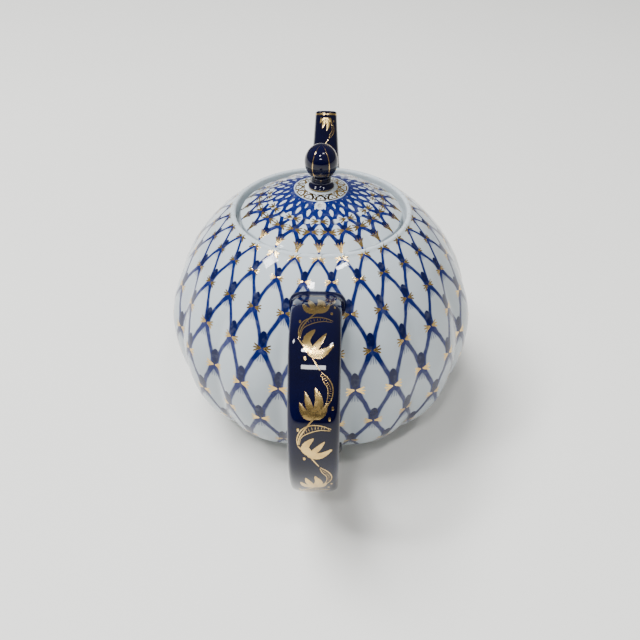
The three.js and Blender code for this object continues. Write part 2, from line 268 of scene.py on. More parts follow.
def run_recipe(piece, recipe, values):
    """Runs the recipe on the piece's own mesh and keeps the result as its mesh."""
    modifier = piece.modifiers.new("recipe", "NODES")
    modifier.node_group = recipe
    for item in recipe.interface.items_tree:
        if item.in_out == "INPUT" and item.name in values:
            modifier[item.identifier] = values[item.name]
    evaluated = piece.evaluated_get(bpy.context.evaluated_depsgraph_get())
    mesh = bpy.data.meshes.new_from_object(evaluated)
    piece.modifiers.remove(modifier)
    piece.data = mesh
    mesh.name = piece.name
    return piece


def new_piece(name, points, faces=(), edges=()):
    """An object at the origin whose mesh has these points, in millimetres."""
    mesh = bpy.data.meshes.new(name)
    mesh.from_pydata((np.asarray(points, float) * MM).tolist(), list(edges), [list(f) for f in faces])
    piece = bpy.data.objects.new(name, mesh)
    bpy.context.scene.collection.objects.link(piece)
    return piece


def of_points(bench, vector):
    """The vector worked out for each point, also where it is stored for each corner."""
    settings = {"data_type": "FLOAT_VECTOR", "domain": "POINT"}
    return bench.add("GeometryNodeFieldOnDomain", settings, {0: vector})[0]


def stored(bench, name, kind="FLOAT_VECTOR"):
    """The attribute of that name."""
    return bench.add("GeometryNodeInputNamedAttribute", {"data_type": kind}, {"Name": name})[0]


def sampled(bench, geometry, number, value, kind="FLOAT_VECTOR"):
    """The value at the geometry's point of that number."""
    sockets = {"Geometry": geometry, "Value": value, "Index": number}
    return bench.add("GeometryNodeSampleIndex", {"data_type": kind, "domain": "POINT"}, sockets)[0]


def scaled(bench, vector, factor):
    return bench.add("ShaderNodeVectorMath", {"operation": "SCALE"}, {0: vector, "Scale": factor})[0]


def added(bench, first, second):
    return bench.add("ShaderNodeVectorMath", {"operation": "ADD"}, {0: first, 1: second})[0]


def point_count(bench, geometry):
    return bench.add("GeometryNodeAttributeDomainSize", {}, {0: geometry})["Point Count"]


def numbered_grid(bench, rows, columns):
    """A grid of faces, and for each of its points the row and the column that it is in."""
    grid = bench.add("GeometryNodeMeshGrid", {}, {"Vertices X": rows, "Vertices Y": columns})["Mesh"]
    index = bench.add("GeometryNodeInputIndex")[0]
    row = ((index + 0.5) / columns).floor()
    return grid, row, index - row * columns


def closed_sheet(bench, grid, spot, share, down, flip=False):
    """Puts the grid's points in place, stores the map "sheet" and joins the edges that meet."""
    mesh = bench.add("GeometryNodeSetPosition", {}, {"Geometry": grid, "Position": spot})[0]
    on_map = of_points(bench, bench.join(share, down, 0.0))
    settings = {"data_type": "FLOAT2", "domain": "CORNER"}
    sockets = {"Geometry": mesh, "Name": "sheet", "Value": on_map}
    mesh = bench.add("GeometryNodeStoreNamedAttribute", settings, sockets)[0]
    if flip:
        mesh = bench.add("GeometryNodeFlipFaces", {}, {0: mesh})[0]
    mesh = bench.add("GeometryNodeMergeByDistance", {}, {"Geometry": mesh, "Distance": WELD})[0]
    return bench.add("GeometryNodeSetShadeSmooth", {}, {"Geometry": mesh})[0]


def store(piece, name, kind, values):
    """Gives each point of the piece a number or a vector of its own."""
    attribute = piece.data.attributes.new(name, kind, "POINT")
    key = "vector" if kind == "FLOAT_VECTOR" else "value"
    attribute.data.foreach_set(key, np.asarray(values, np.float32).ravel())


def triangles(piece):
    return sum(len(p.vertices) - 2 for p in piece.data.polygons)


print("points nearer than", WELD, "m are joined")


# %% [markdown]
# ## Turned shapes
#
# The body, the lid and the knob are turned: one outline carried round the axis. The real body is slip
# cast in a plaster mould cut with fourteen scallops, so the recipe also presses grooves into the turned
# shape. It could be a Screw modifier with a sculpted displacement, but the lobes follow a rule, so a
# recipe that places a grid of points by that rule is shorter and exact.
#
# Each point of the outline carries two things of its own: `press`, how far the deepest groove moves it,
# and `down`, how far it is along the outline, which becomes the map's second coordinate.

# %% The turning recipe
def make_turning_recipe():
    bench, given = new_recipe("turned_shape", [
        ("Turns", "Int"), ("Lobes", "Int"), ("Crease", "Float"), ("Material", "Material"),
    ])
    outline = given["Geometry"]
    turns = given["Turns"]
    grid, row, column = numbered_grid(bench, point_count(bench, outline), turns + 1)
    share = column / turns
    place = sampled(bench, outline, row, bench.add("GeometryNodeInputPosition")[0])
    press = sampled(bench, outline, row, stored(bench, "press"))
    down = sampled(bench, outline, row, stored(bench, "down", "FLOAT"), "FLOAT")
    radius, _, height = bench.split(place)
    press_in, _, press_down = bench.split(press)

    # 0 on a lobe's ridge, 1 in the groove, with the crease between two lobes a little rounded.
    off_ridge = abs((share * given["Lobes"]).off_whole()) * 2
    flat = 1 - off_ridge * off_ridge
    groove = 1 - (flat * flat + given["Crease"] * given["Crease"]) ** 0.5
    radius = radius - press_in * groove
    height = height - press_down * groove
    angle = share * (2 * math.pi)
    cosine = angle.maths("COSINE", angle)
    sine = angle.maths("SINE", angle)
    spot = bench.join(radius * cosine, radius * sine, height)
    return end_recipe(bench, closed_sheet(bench, grid, spot, share, down, flip=True), given["Material"])


turning = make_turning_recipe()
print("turning recipe:", len(turning.nodes), "nodes")

# %% [markdown]
# ## Outlines
#
# An outline is drawn as a turner's template is: straight runs and Bezier sweeps, from one end of the
# axis to the other, so that the turned shape is closed. `Outline` keeps the points in order. The piece is
# then a chain of those points, and the recipe reads them by their number.

# %% Drawing an outline
class Outline:
    """Points (radius, height) in millimetres, drawn one stretch after another."""

    def __init__(self, radius, height):
        self.points = [(radius, height)]

    def line(self, radius, height, steps=1):
        return self.sweep((radius, height), steps=steps)

    def sweep(self, *controls, steps=6):
        """A Bezier curve from the last point, with the controls given and the last one as its end."""
        controls = np.array([self.points[-1], *controls], float)
        degree = len(controls) - 1
        for t in np.linspace(0, 1, steps + 1)[1:]:
            weights = [math.comb(degree, k) * t**k * (1 - t) ** (degree - k) for k in range(degree + 1)]
            self.points.append(tuple(np.array(weights) @ controls))
        return self

    def array(self):
        return np.array(self.points)

    def lengths(self):
        steps = np.linalg.norm(np.diff(self.array(), axis=0), axis=1)
        return np.concatenate([[0], np.cumsum(steps)])


LOBES = 14
CREASE = 0.1
STEPS_PER_LOBE = 24


def turned_piece(name, outline, down, material, press=None, turns=LOBES * STEPS_PER_LOBE):
    """down gives each point's second map coordinate, and press how far a full groove moves it, in mm."""
    points = outline.array()
    count = len(points)
    spots = np.column_stack([points[:, 0], np.zeros(count), points[:, 1]])
    piece = new_piece(name, spots, edges=[(i, i + 1) for i in range(count - 1)])
    store(piece, "down", "FLOAT", down)
    store(piece, "press", "FLOAT_VECTOR", np.zeros((count, 3)) if press is None else press * MM)
    values = {"Turns": turns, "Lobes": LOBES, "Crease": CREASE, "Material": material}
    return run_recipe(piece, turning, values)


def smoothstep(value, low, high):
    share = np.clip((np.asarray(value, float) - low) / (high - low), 0, 1)
    return share * share * (3 - 2 * share)


print(LOBES, "lobes")

# %% [markdown]
# ## The body's outline
#
# The outline starts under the pot, goes round the foot ring, up the belly and the shoulder, over the
# rounded rim, down to the ledge that carries the lid, and then down the inside to the floor. The belly
# and the shoulder are each one Bezier curve: it bulges low, which makes the pot squat.

# %% Drawing the body
WIDEST_HEIGHT = 46
FOOT_RADIUS = 38
FOOT_HEIGHT = 4.6
FOOT_WIDTH = 3.6
FOOT_RECESS = 3
RIM_RADIUS = 36.6
RIM_START = BODY_HEIGHT - 0.8
MOUTH_RADIUS = 34.3
LEDGE_HEIGHT = BODY_HEIGHT - 5.2
LEDGE_THICKNESS = 3.6
THROAT_RADIUS = 30.1
BODY_WALL = 3.6
FLOOR_HEIGHT = FOOT_HEIGHT + BODY_WALL
BELLY_RISE = WIDEST_HEIGHT - FOOT_HEIGHT
SHOULDER_RISE = RIM_START - WIDEST_HEIGHT
LOBE_DEPTH = 2.5
OUTSIDE_STEPS = 60


def draw_outside(outline):
    """Belly and shoulder, from the foot to the rim."""
    belly = BODY_RADIUS - FOOT_RADIUS
    shoulder = BODY_RADIUS - RIM_RADIUS
    outline.sweep(
        (FOOT_RADIUS + 0.77 * belly, FOOT_HEIGHT + 0.05 * BELLY_RISE),
        (BODY_RADIUS, WIDEST_HEIGHT - 0.53 * BELLY_RISE),
        (BODY_RADIUS, WIDEST_HEIGHT),
        steps=OUTSIDE_STEPS,
    )
    return outline.sweep(
        (BODY_RADIUS, WIDEST_HEIGHT + 0.27 * SHOULDER_RISE),
        (RIM_RADIUS + 0.64 * shoulder, RIM_START - 0.26 * SHOULDER_RISE),
        (RIM_RADIUS, RIM_START),
        steps=OUTSIDE_STEPS,
    )


def lobe_depth(height):
    """The grooves run out at the rim and at the foot."""
    from_rim = smoothstep(RIM_START - height, 1, 0.45 * BODY_HEIGHT)
    from_foot = smoothstep(height - FOOT_HEIGHT, 0, 0.32 * BELLY_RISE)
    return LOBE_DEPTH * from_rim * from_foot


OUTSIDE = draw_outside(Outline(FOOT_RADIUS, FOOT_HEIGHT)).array()


def groove(angle):
    off_ridge = angle / (2 * math.pi) * LOBES
    return (2 * (off_ridge - np.round(off_ridge))) ** 2


def outside_radius(height, angle):
    """The body's radius at a height and an angle, with the lobes in it."""
    over_lobes = np.interp(height, OUTSIDE[:, 1], OUTSIDE[:, 0])
    return over_lobes - lobe_depth(height) * groove(angle)


def draw_body():
    ring = FOOT_RADIUS - FOOT_WIDTH
    outline = Outline(0, FOOT_RECESS).line(ring - 4, FOOT_RECESS, steps=6)
    outline.sweep((ring - 0.9, FOOT_RECESS), (ring - 0.3, 1.1), (ring, 0.5))
    outline.sweep((ring + 0.2, 0), (ring + 0.9, 0), steps=4).line(FOOT_RADIUS - 0.9, 0, steps=2)
    outline.sweep((FOOT_RADIUS - 0.2, 0), (FOOT_RADIUS, 0.7), steps=4)
    outline.sweep((FOOT_RADIUS, 3.2), (FOOT_RADIUS, FOOT_HEIGHT), steps=4)
    first = len(outline.points) - 1
    draw_outside(outline)
    last = len(outline.points)
    middle = (RIM_RADIUS + MOUTH_RADIUS) / 2
    outline.sweep((RIM_RADIUS - 0.5, BODY_HEIGHT), (middle, BODY_HEIGHT), steps=6)
    outline.sweep((MOUTH_RADIUS, BODY_HEIGHT), (MOUTH_RADIUS, BODY_HEIGHT - 1.1), steps=6)
    outline.line(MOUTH_RADIUS, LEDGE_HEIGHT + 0.8, steps=3)
    outline.sweep((MOUTH_RADIUS, LEDGE_HEIGHT), (MOUTH_RADIUS - 0.8, LEDGE_HEIGHT), steps=4)
    outline.line(THROAT_RADIUS + 0.7, LEDGE_HEIGHT, steps=3)
    outline.sweep((THROAT_RADIUS, LEDGE_HEIGHT), (THROAT_RADIUS, LEDGE_HEIGHT - 0.7), steps=4)
    under = LEDGE_HEIGHT - LEDGE_THICKNESS
    outline.line(THROAT_RADIUS, under + 0.8, steps=3)
    outline.sweep((THROAT_RADIUS, under), (THROAT_RADIUS + 1.5, under - 0.4), steps=4)
    start = outline.points[-1]
    inside = OUTSIDE[::-1]
    slope = np.gradient(inside, axis=0)
    inward = np.column_stack([slope[:, 1], -slope[:, 0]])
    inward /= np.linalg.norm(inward, axis=1)[:, None]
    inside = inside + inward * (BODY_WALL + lobe_depth(inside[:, 1]))[:, None]
    keep = (inside[:, 1] < start[1] - 2) & (inside[:, 1] > FLOOR_HEIGHT + 4)
    keep &= inside[:, 0] > start[0] + 3
    for radius, height in inside[keep][::2]:
        outline.points.append((radius, height))
    radius = outline.points[-1][0]
    outline.sweep((radius - 4, FLOOR_HEIGHT), (FOOT_RADIUS - 6, FLOOR_HEIGHT), steps=8)
    outline.line(0, FLOOR_HEIGHT, steps=6)
    return outline, first, last


body_outline, OUTSIDE_FIRST, OUTSIDE_LAST = draw_body()
print("body outline:", len(body_outline.points), "points,", round(body_outline.lengths()[-1]), "mm round")

# %% [markdown]
# ## The net's map
#
# The net has 27 columns, and its rows of crossings lie at set heights, further apart where the pot is
# wider. Column 0 faces the handle, and every second row is shifted by half a column. The map that the
# net is drawn on counts in those columns and rows, so one small drawing of a crossing fits them all, and
# it shrinks towards the rim as the painter's own does.

# %% Columns and rows
NET_COLUMNS = 27
ROW_HEIGHTS = (94.5, 88.8, 79.5, 67.3, 52.0, 35.6, 20.2, 9.2)
ROW_STEP = 14
MAP_FIRST_ROW = -16
MAP_ROWS = 30
SPARE_ROWS = 20


def rows_along(lengths, marks):
    """Row numbers along an outline. marks are the lengths at which rows 0, 1, 2 ... cross it. Spare rows,
    a fixed step apart, carry the count on past the first and the last."""
    marks = np.asarray(marks, float)
    way = 1 if marks[-1] > marks[0] else -1
    before = marks[0] - way * ROW_STEP * np.arange(SPARE_ROWS, 0, -1)
    after = marks[-1] + way * ROW_STEP * np.arange(1, SPARE_ROWS + 1)
    known = np.concatenate([before, marks, after])
    rows = np.arange(-SPARE_ROWS, len(marks) + SPARE_ROWS)
    if way < 0:
        known, rows = known[::-1], rows[::-1]
    return np.interp(lengths, known, rows)


def map_down(rows):
    """The row number as a share of the map's height."""
    return (rows - MAP_FIRST_ROW) / MAP_ROWS


body_lengths = body_outline.lengths()
outside_part = slice(OUTSIDE_FIRST, OUTSIDE_LAST)
row_marks = np.interp(ROW_HEIGHTS, body_outline.array()[outside_part, 1], body_lengths[outside_part])
body_rows = rows_along(body_lengths, row_marks)
print("rows run from", round(body_rows.min(), 1), "to", round(body_rows.max(), 1))

# %% [markdown]
# ## Porcelain, cobalt and gold
#
# Glazed porcelain is a cool white body under a clear glass skin. The body is the base of the shader, with
# a little light let into it, and the skin is the coat. Cobalt is painted under that skin, so it only
# changes the base colour and never the gloss. Gold is fired on top, so it is a metal of its own.
#
# Numbers that are the same all over a finish are set on the shader's own sockets. Only what changes over
# the surface is wired.

# %% Colours and the glaze
WHITE = (0.40, 0.445, 0.475, 1)
WHITE_POOLED = (0.29, 0.345, 0.39, 1)
NET_BLUE = (0.002, 0.009, 0.095, 1)
NET_DARK = (0.001, 0.003, 0.035, 1)
COBALT = (0.001, 0.0012, 0.012, 1)
COBALT_THIN = (0.0015, 0.002, 0.04, 1)
GOLD = (0.72, 0.50, 0.19, 1)
GOLD_DEEP = (0.46, 0.28, 0.09, 1)


def new_material(name):
    material = bpy.data.materials.new(name)
    material.use_nodes = True
    material.node_tree.nodes.clear()
    return material, Bench(material.node_tree)


def finish_material(bench, sockets):
    shader = bench.add("ShaderNodeBsdfPrincipled", {}, sockets)
    bench.add("ShaderNodeOutputMaterial", {}, {"Surface": shader["BSDF"]})


GLAZE = {
    "Roughness": 0.4,
    "Specular IOR Level": 0.0,
    "Coat Weight": 1.0,
    "Coat Roughness": 0.03,
    "Coat IOR": 1.39,
}


def object_place(bench):
    return bench.add("ShaderNodeTexCoord")["Object"]


def glaze_waves(bench, place, strength=0.035):
    """The skin of a glaze is never quite flat: it keeps slow waves from when it ran."""
    height = bench.noise(place, 70, detail=1.0)
    sockets = {"Strength": strength, "Distance": 0.002, "Height": height}
    return bench.add("ShaderNodeBump", {}, sockets)["Normal"]


print("glaze:", GLAZE)

# %% [markdown]
# ## Drawing the net
#
# One crossing is drawn once, in a square cell of the map: `across` runs from -0.5 to 0.5 of a column and
# `below` from -0.5 to 0.5 of a row. The long lines bow a little on their way to the next row and are
# thickest where they meet. Above each crossing sits a dark drop, and below it three short splayed
# strokes, as a loaded brush leaves them. Each mask is a width minus a distance, softened at its edge
# because cobalt bleeds into the glaze.

# %% The net as shader maths
LID_COLUMNS = 24
DROP_PEAK = 0.42
SPLAY_PIGMENT = 0.85
LINE_DEPTH = 0.25

# The scales of the noise that shifts the columns and the rows, for the body and for the lid.
NET_NOISE = {NET_COLUMNS: (190, 160), LID_COLUMNS: (210, 170)}


def stroke_mask(bench, half_width, distance, soft):
    return bench.smooth(half_width - distance, soft * -1, soft)


def net_lines(bench, columns, rows, thin, thick, soft, bow=0.11):
    """The two families of lines. Those that leave the nearest crossing of the row above are enough."""
    upper = rows.floor()
    way = rows - upper
    shift = (upper * 0.5).wrap()
    off = abs((columns + shift).off_whole())
    bowed = way + bow * way.maths("SINE", way * math.pi)
    distance = abs(off - 0.5 * bowed) * 0.9
    ends = abs(way * 2 - 1) ** 3
    return stroke_mask(bench, thin + (thick - thin) * ends, distance, soft)


def cell(columns, rows):
    """Place inside the cell of the nearest crossing, and the number of its row."""
    row = (rows + 0.5).floor()
    shift = (row * 0.5).wrap()
    return (columns + shift).off_whole(), rows - row, row


def drop_mask(bench, across, below, height, half_width, soft):
    """A drop that stands on the crossing: widest in its upper half and pointed at its foot."""
    share = (below * (-1 / height)).most(0.0001).least(0.9999)
    width = (share ** 0.75) * ((1 - share) ** 0.5) * (half_width / DROP_PEAK)
    there = bench.smooth(below * -1, -0.02, 0.02)
    return stroke_mask(bench, width - 0.01, abs(across), soft) * there


def splay_mask(bench, across, below, length, half_width, slope, soft):
    """Three short strokes under the crossing, the outer two splayed by slope."""
    fade = 1 - below * (1 / length)
    width = half_width * (fade.most(0.0) ** 0.4)
    outer = abs(abs(across) - slope * below)
    distance = outer.least(abs(across))
    there = bench.smooth(below, 0.0, 0.03)
    ends = bench.smooth(fade, 0.0, 0.12)
    return stroke_mask(bench, width, distance, soft) * there * ends


def within(bench, rows, first, last, soft=0.02):
    """1 between the rows first and last, 0 elsewhere."""
    begun = bench.smooth(rows, first - soft, first + soft)
    return begun * (1 - bench.smooth(rows, last - soft, last + soft))


def net_place(bench, place, counted, column_wobble, row_wobble):
    """Columns and rows on a piece's map, shifted a little by noise as a hand shifts them."""
    scale_across, scale_down = NET_NOISE[counted]
    share, down, _ = bench.split(bench.add("ShaderNodeUVMap", {"uv_map": "sheet"})[0])
    wobble = bench.noise(place, scale_across, detail=1.0) - 0.5
    columns = (share - 0.5) * counted + wobble * column_wobble
    waver = bench.noise(place, scale_down, detail=0.0) - 0.5
    return columns, down * MAP_ROWS + MAP_FIRST_ROW + waver * row_wobble


def finish_net(bench, place, pigment, thick):
    """White ground under the pigment, whose blue turns darker and more uneven where it is thick."""
    uneven = bench.noise(place, 420, detail=2.0)
    pigment = pigment * (0.86 + uneven * 0.28).least(1.0)
    depth = thick * (0.75 + uneven * 0.4)
    blue = bench.blend(depth.least(1.0), NET_BLUE, NET_DARK)
    mottle = bench.smooth(bench.noise(place, 26, detail=3.0), 0.3, 0.75)
    ground = bench.blend(mottle * 0.35, WHITE, WHITE_POOLED)
    finish_material(bench, {
        **GLAZE,
        "Base Color": bench.blend(pigment, ground, blue),
        "Normal": glaze_waves(bench, place),
        "Subsurface Weight": 0.06,
        "Subsurface Radius": (0.002, 0.0016, 0.0014),
        "Subsurface Scale": 1.0,
    })


def make_net_porcelain():
    material, bench = new_material("net_porcelain")
    place = object_place(bench)
    columns, rows = net_place(bench, place, NET_COLUMNS, column_wobble=0.07, row_wobble=0.05)
    across, below, _ = cell(columns, rows)
    soft = 0.024

    lines = net_lines(bench, columns, rows, thin=0.063, thick=0.125, soft=soft)
    lines = lines * within(bench, rows, 0.03, 7.0)
    drops = drop_mask(bench, across, below, height=0.46, half_width=0.128, soft=soft)
    drops = drops * within(bench, rows, 0.5, 7.0)
    splays = splay_mask(bench, across, below, 0.36, half_width=0.024, slope=0.24, soft=soft)
    splays = splays * within(bench, rows, 0.0, 6.5)
    pigment = lines.most(splays * SPLAY_PIGMENT).most(drops)
    finish_net(bench, place, pigment, drops.most(lines * LINE_DEPTH))
    return material


net_porcelain = make_net_porcelain()
print("net porcelain:", len(net_porcelain.node_tree.nodes), "nodes")

# %% [markdown]
# ## Solid cobalt
#
# The handle, the spout and the knob are covered edge to edge. The wash is nearly black where it is thick
# and clearly blue where it ran thin, so the colour follows slow noise, with fine specks in it. The gloss
# is the same glaze.

# %% Cobalt glaze
def make_cobalt_glaze():
    material, bench = new_material("cobalt_glaze")
    place = object_place(bench)
    run = bench.smooth(bench.noise(place, 45, detail=3.0), 0.35, 0.8)
    speck = bench.smooth(bench.noise(place, 900, detail=1.0), 0.62, 0.8) * 0.25
    colour = bench.blend((run * 0.4 + speck).least(1.0), COBALT, COBALT_THIN)
    finish_material(bench, {**GLAZE, "Base Color": colour, "Normal": glaze_waves(bench, place, 0.05)})
    return material


cobalt_glaze = make_cobalt_glaze()
print("cobalt glaze:", len(cobalt_glaze.node_tree.nodes), "nodes")

# %% [markdown]
# ## Gilding
#
# Burnished gold keeps fine rubbing marks and is thinner in places, where it turns redder and rougher.

# %% Gold
def make_gilding():
    material, bench = new_material("gilding")
    place = object_place(bench)
    worn = bench.smooth(bench.noise(place, 260, detail=3.0), 0.4, 0.75)
    colour = bench.blend(worn * 0.7, GOLD, GOLD_DEEP)
    rough = 0.20 + worn * 0.14
    marks = bench.noise(place, 1500, detail=2.0)
    rubbed = {"Strength": 0.12, "Distance": 0.0002, "Height": marks}
    normal = bench.add("ShaderNodeBump", {}, rubbed)["Normal"]
    finish_material(bench, {"Base Color": colour, "Metallic": 1.0, "Roughness": rough, "Normal": normal})
    return material


gilding = make_gilding()
print("gilding:", len(gilding.node_tree.nodes), "nodes")

# %% [markdown]
# ## The body
#
# The body is turned with a whole number of steps to a lobe, so that a step falls on every crease.

# %% Making the body
def press_of(outline, first, last):
    """Full groove depth along the outside stretch of an outline, pointing in, and none elsewhere."""
    press = np.zeros((len(outline.points), 3))
    heights = outline.array()[first:last, 1]
    press[first:last, 0] = lobe_depth(heights)
    return press


pot_fine = turned_piece(
    "pot_body_fine", body_outline, map_down(body_rows), net_porcelain,
    press=press_of(body_outline, OUTSIDE_FIRST, OUTSIDE_LAST),
)
print("body:", triangles(pot_fine), "triangles")

# %% [markdown]
# ## The strainer
#
# Tea leaves are held back by round holes through the wall behind the spout. They are drilled while the
# clay is leather hard. Here each drill is a cylinder, repeated by a recipe over a staggered grid, and one
# boolean cut takes them all.

# %% Drilling the strainer
SPOUT_ROOT_HEIGHT = 41
HOLE_DIAMETER = 3.6
HOLE_PITCH = 6
HOLE_REACH = 8
ROW_PITCH = HOLE_PITCH * math.sin(math.pi / 3)
DRILLS_ACROSS = 5
DRILL_SIDES = 24


def make_drill_recipe():
    bench, given = new_recipe("staggered_drills", [
        ("Pitch", "Float"), ("Row Pitch", "Float"), ("Reach", "Float"), ("Diameter", "Float"),
        ("Length", "Float"), ("Distance", "Float"), ("Height", "Float"), ("Material", "Material"),
    ])
    spots = bench.add("GeometryNodePoints", {}, {"Count": DRILLS_ACROSS * DRILLS_ACROSS})[0]
    index = bench.add("GeometryNodeInputIndex")[0]
    line = ((index + 0.5) / DRILLS_ACROSS).floor()
    row = line - DRILLS_ACROSS // 2
    column = index - line * DRILLS_ACROSS - DRILLS_ACROSS // 2
    across = (column + abs(row * 0.5).wrap()) * given["Pitch"]
    rise = row * given["Row Pitch"]
    far = (across * across + rise * rise) ** 0.5
    spot = bench.join(given["Distance"], across, rise + given["Height"])
    moved = bench.add("GeometryNodeSetPosition", {}, {"Geometry": spots, "Position": spot})[0]
    outside = far.maths("GREATER_THAN", far, given["Reach"])
    kept = bench.add("GeometryNodeDeleteGeometry", {}, {"Geometry": moved, "Selection": outside})[0]
    size = {"Vertices": DRILL_SIDES, "Radius": given["Diameter"] / 2, "Depth": given["Length"]}
    drill = bench.add("GeometryNodeMeshCylinder", {}, size)["Mesh"]
    turn = {"Points": kept, "Instance": drill, "Rotation": (0, math.pi / 2, 0)}
    drills = bench.add("GeometryNodeInstanceOnPoints", {}, turn)[0]
    return end_recipe(bench, drills, given["Material"])


def cut_away(piece, cutter):
    """Cuts the cutter's solids out of the piece and removes the cutter."""
    cut = piece.modifiers.new("cut", "BOOLEAN")
    cut.operation = "DIFFERENCE"
    cut.object = cutter
    cut.solver = "EXACT"
    evaluated = piece.evaluated_get(bpy.context.evaluated_depsgraph_get())
    mesh = bpy.data.meshes.new_from_object(evaluated)
    piece.modifiers.remove(cut)
    piece.data = mesh
    bpy.data.objects.remove(cutter)


drills = run_recipe(new_piece("strainer_drills", [(0, 0, 0)]), make_drill_recipe(), {
    "Pitch": HOLE_PITCH * MM, "Row Pitch": ROW_PITCH * MM, "Reach": (HOLE_REACH + 0.1) * MM,
    "Diameter": HOLE_DIAMETER * MM, "Length": BODY_RADIUS / 2 * MM,
    "Distance": 0.9 * BODY_RADIUS * MM, "Height": SPOUT_ROOT_HEIGHT * MM, "Material": net_porcelain,
})
print("drills:", triangles(drills), "triangles")
cut_away(pot_fine, drills)
print("body with its strainer:", triangles(pot_fine), "triangles")

# %% [markdown]
# ## The lid
#
# The lid is turned as the body is. Its dome carries faint lobes that line up with the body's, its edge
# drops onto the ledge, and a flange under it keeps it from sliding off when the pot is tipped. A small
# vent lets air in as tea pours out.

# %% Drawing the lid
CROWN_RADIUS = 5.8
LID_EDGE = BODY_HEIGHT - 1.6
LID_SEAT = LEDGE_HEIGHT + 0.3
LID_WALL = 3
FLANGE_RADIUS = 28.5
FLANGE_WALL = 2.6
LID_LOBE_DEPTH = 0.6
VENT_RADIUS = 12.8
VENT_DIAMETER = 2.2


def draw_dome(outline, steps):
    fall = LID_CROWN - LID_EDGE
    run = LID_RADIUS - CROWN_RADIUS
    return outline.sweep(
        (CROWN_RADIUS + 0.34 * run, LID_CROWN - 0.08 * fall),
        (LID_RADIUS - 0.2 * run, LID_EDGE + 0.42 * fall),
        (LID_RADIUS, LID_EDGE),
        steps=steps,
    )


def draw_lid():
    outline = Outline(0, LID_CROWN).line(CROWN_RADIUS, LID_CROWN, steps=6)
    draw_dome(outline, 60)
    outline.points = [p for p in outline.points if p[0] < LID_RADIUS - 0.55]
    last = len(outline.points)
    outline.sweep((LID_RADIUS, LID_EDGE + 0.2), (LID_RADIUS, LID_EDGE - 1.2), steps=8)
    outline.line(LID_RADIUS, LID_SEAT + 0.8, steps=2)
    outline.sweep((LID_RADIUS, LID_SEAT), (LID_RADIUS - 0.8, LID_SEAT), steps=5)
    outline.line(FLANGE_RADIUS + 0.6, LID_SEAT, steps=2)
    outline.sweep((FLANGE_RADIUS, LID_SEAT), (FLANGE_RADIUS, LID_SEAT - 0.6), steps=4)
    outline.line(FLANGE_RADIUS, FLANGE_FOOT + 1.2, steps=4)
    inner = FLANGE_RADIUS - FLANGE_WALL
    outline.sweep((FLANGE_RADIUS, FLANGE_FOOT), ((FLANGE_RADIUS + inner) / 2, FLANGE_FOOT), steps=5)
    outline.sweep((inner, FLANGE_FOOT), (inner, FLANGE_FOOT + 1.2), steps=5)
    outline.line(inner, LID_SEAT, steps=4)
    under = draw_dome(Outline(CROWN_RADIUS, LID_CROWN), 12).array()[::-1]
    under = under[under[:, 0] < inner - 3] - (0, LID_WALL)
    outline.sweep((inner, under[0][1] - 2), tuple(under[0]), steps=6)
    outline.points += [tuple(p) for p in under[1:]]
    outline.line(0, LID_CROWN - LID_WALL, steps=4)
    return outline, last


lid_outline, LID_LAST = draw_lid()
print("lid outline:", len(lid_outline.points), "points,", LID_LAST, "of them on the dome")

# %% [markdown]
# ## The lid's map
#
# On the lid the net radiates from the knob. Rows and columns shrink together towards the centre, as they
# do on a sunflower, so each row's radius is a fixed ratio of the next. There are 24 columns.

# %% Columns and rows of the lid
LID_ROWS = 6
LID_OUTER_ROW = 29.9
LID_ROW_RATIO = 1.21
lid_row_radii = [LID_OUTER_ROW / LID_ROW_RATIO ** (LID_ROWS - 1 - k) for k in range(LID_ROWS)]
lid_lengths = lid_outline.lengths()
lid_marks = np.interp(lid_row_radii, lid_outline.array()[:LID_LAST, 0], lid_lengths[:LID_LAST])
lid_rows = rows_along(lid_lengths, lid_marks)
print("lid rows at", [round(r, 1) for r in lid_row_radii], "mm")

# %% [markdown]
# ## The net on the lid
#
# The strokes are the same, but here the brush keeps one width in millimetres while the columns close up,
# so the net gets dense near the knob and leaves only white petals. Every second crossing of the third row
# stands in a white pocket that frames a larger gold star, and the edge of the lid is left white.

# %% Porcelain with the lid's net
LID_LINE = 0.86
THICKENING = 1.7


def oval(across, below, narrow, flat):
    """Above 0 inside an oval about the crossing. It gets narrower and flatter as the numbers rise."""
    return 1 - ((across * across) * narrow + (below * below) * flat)


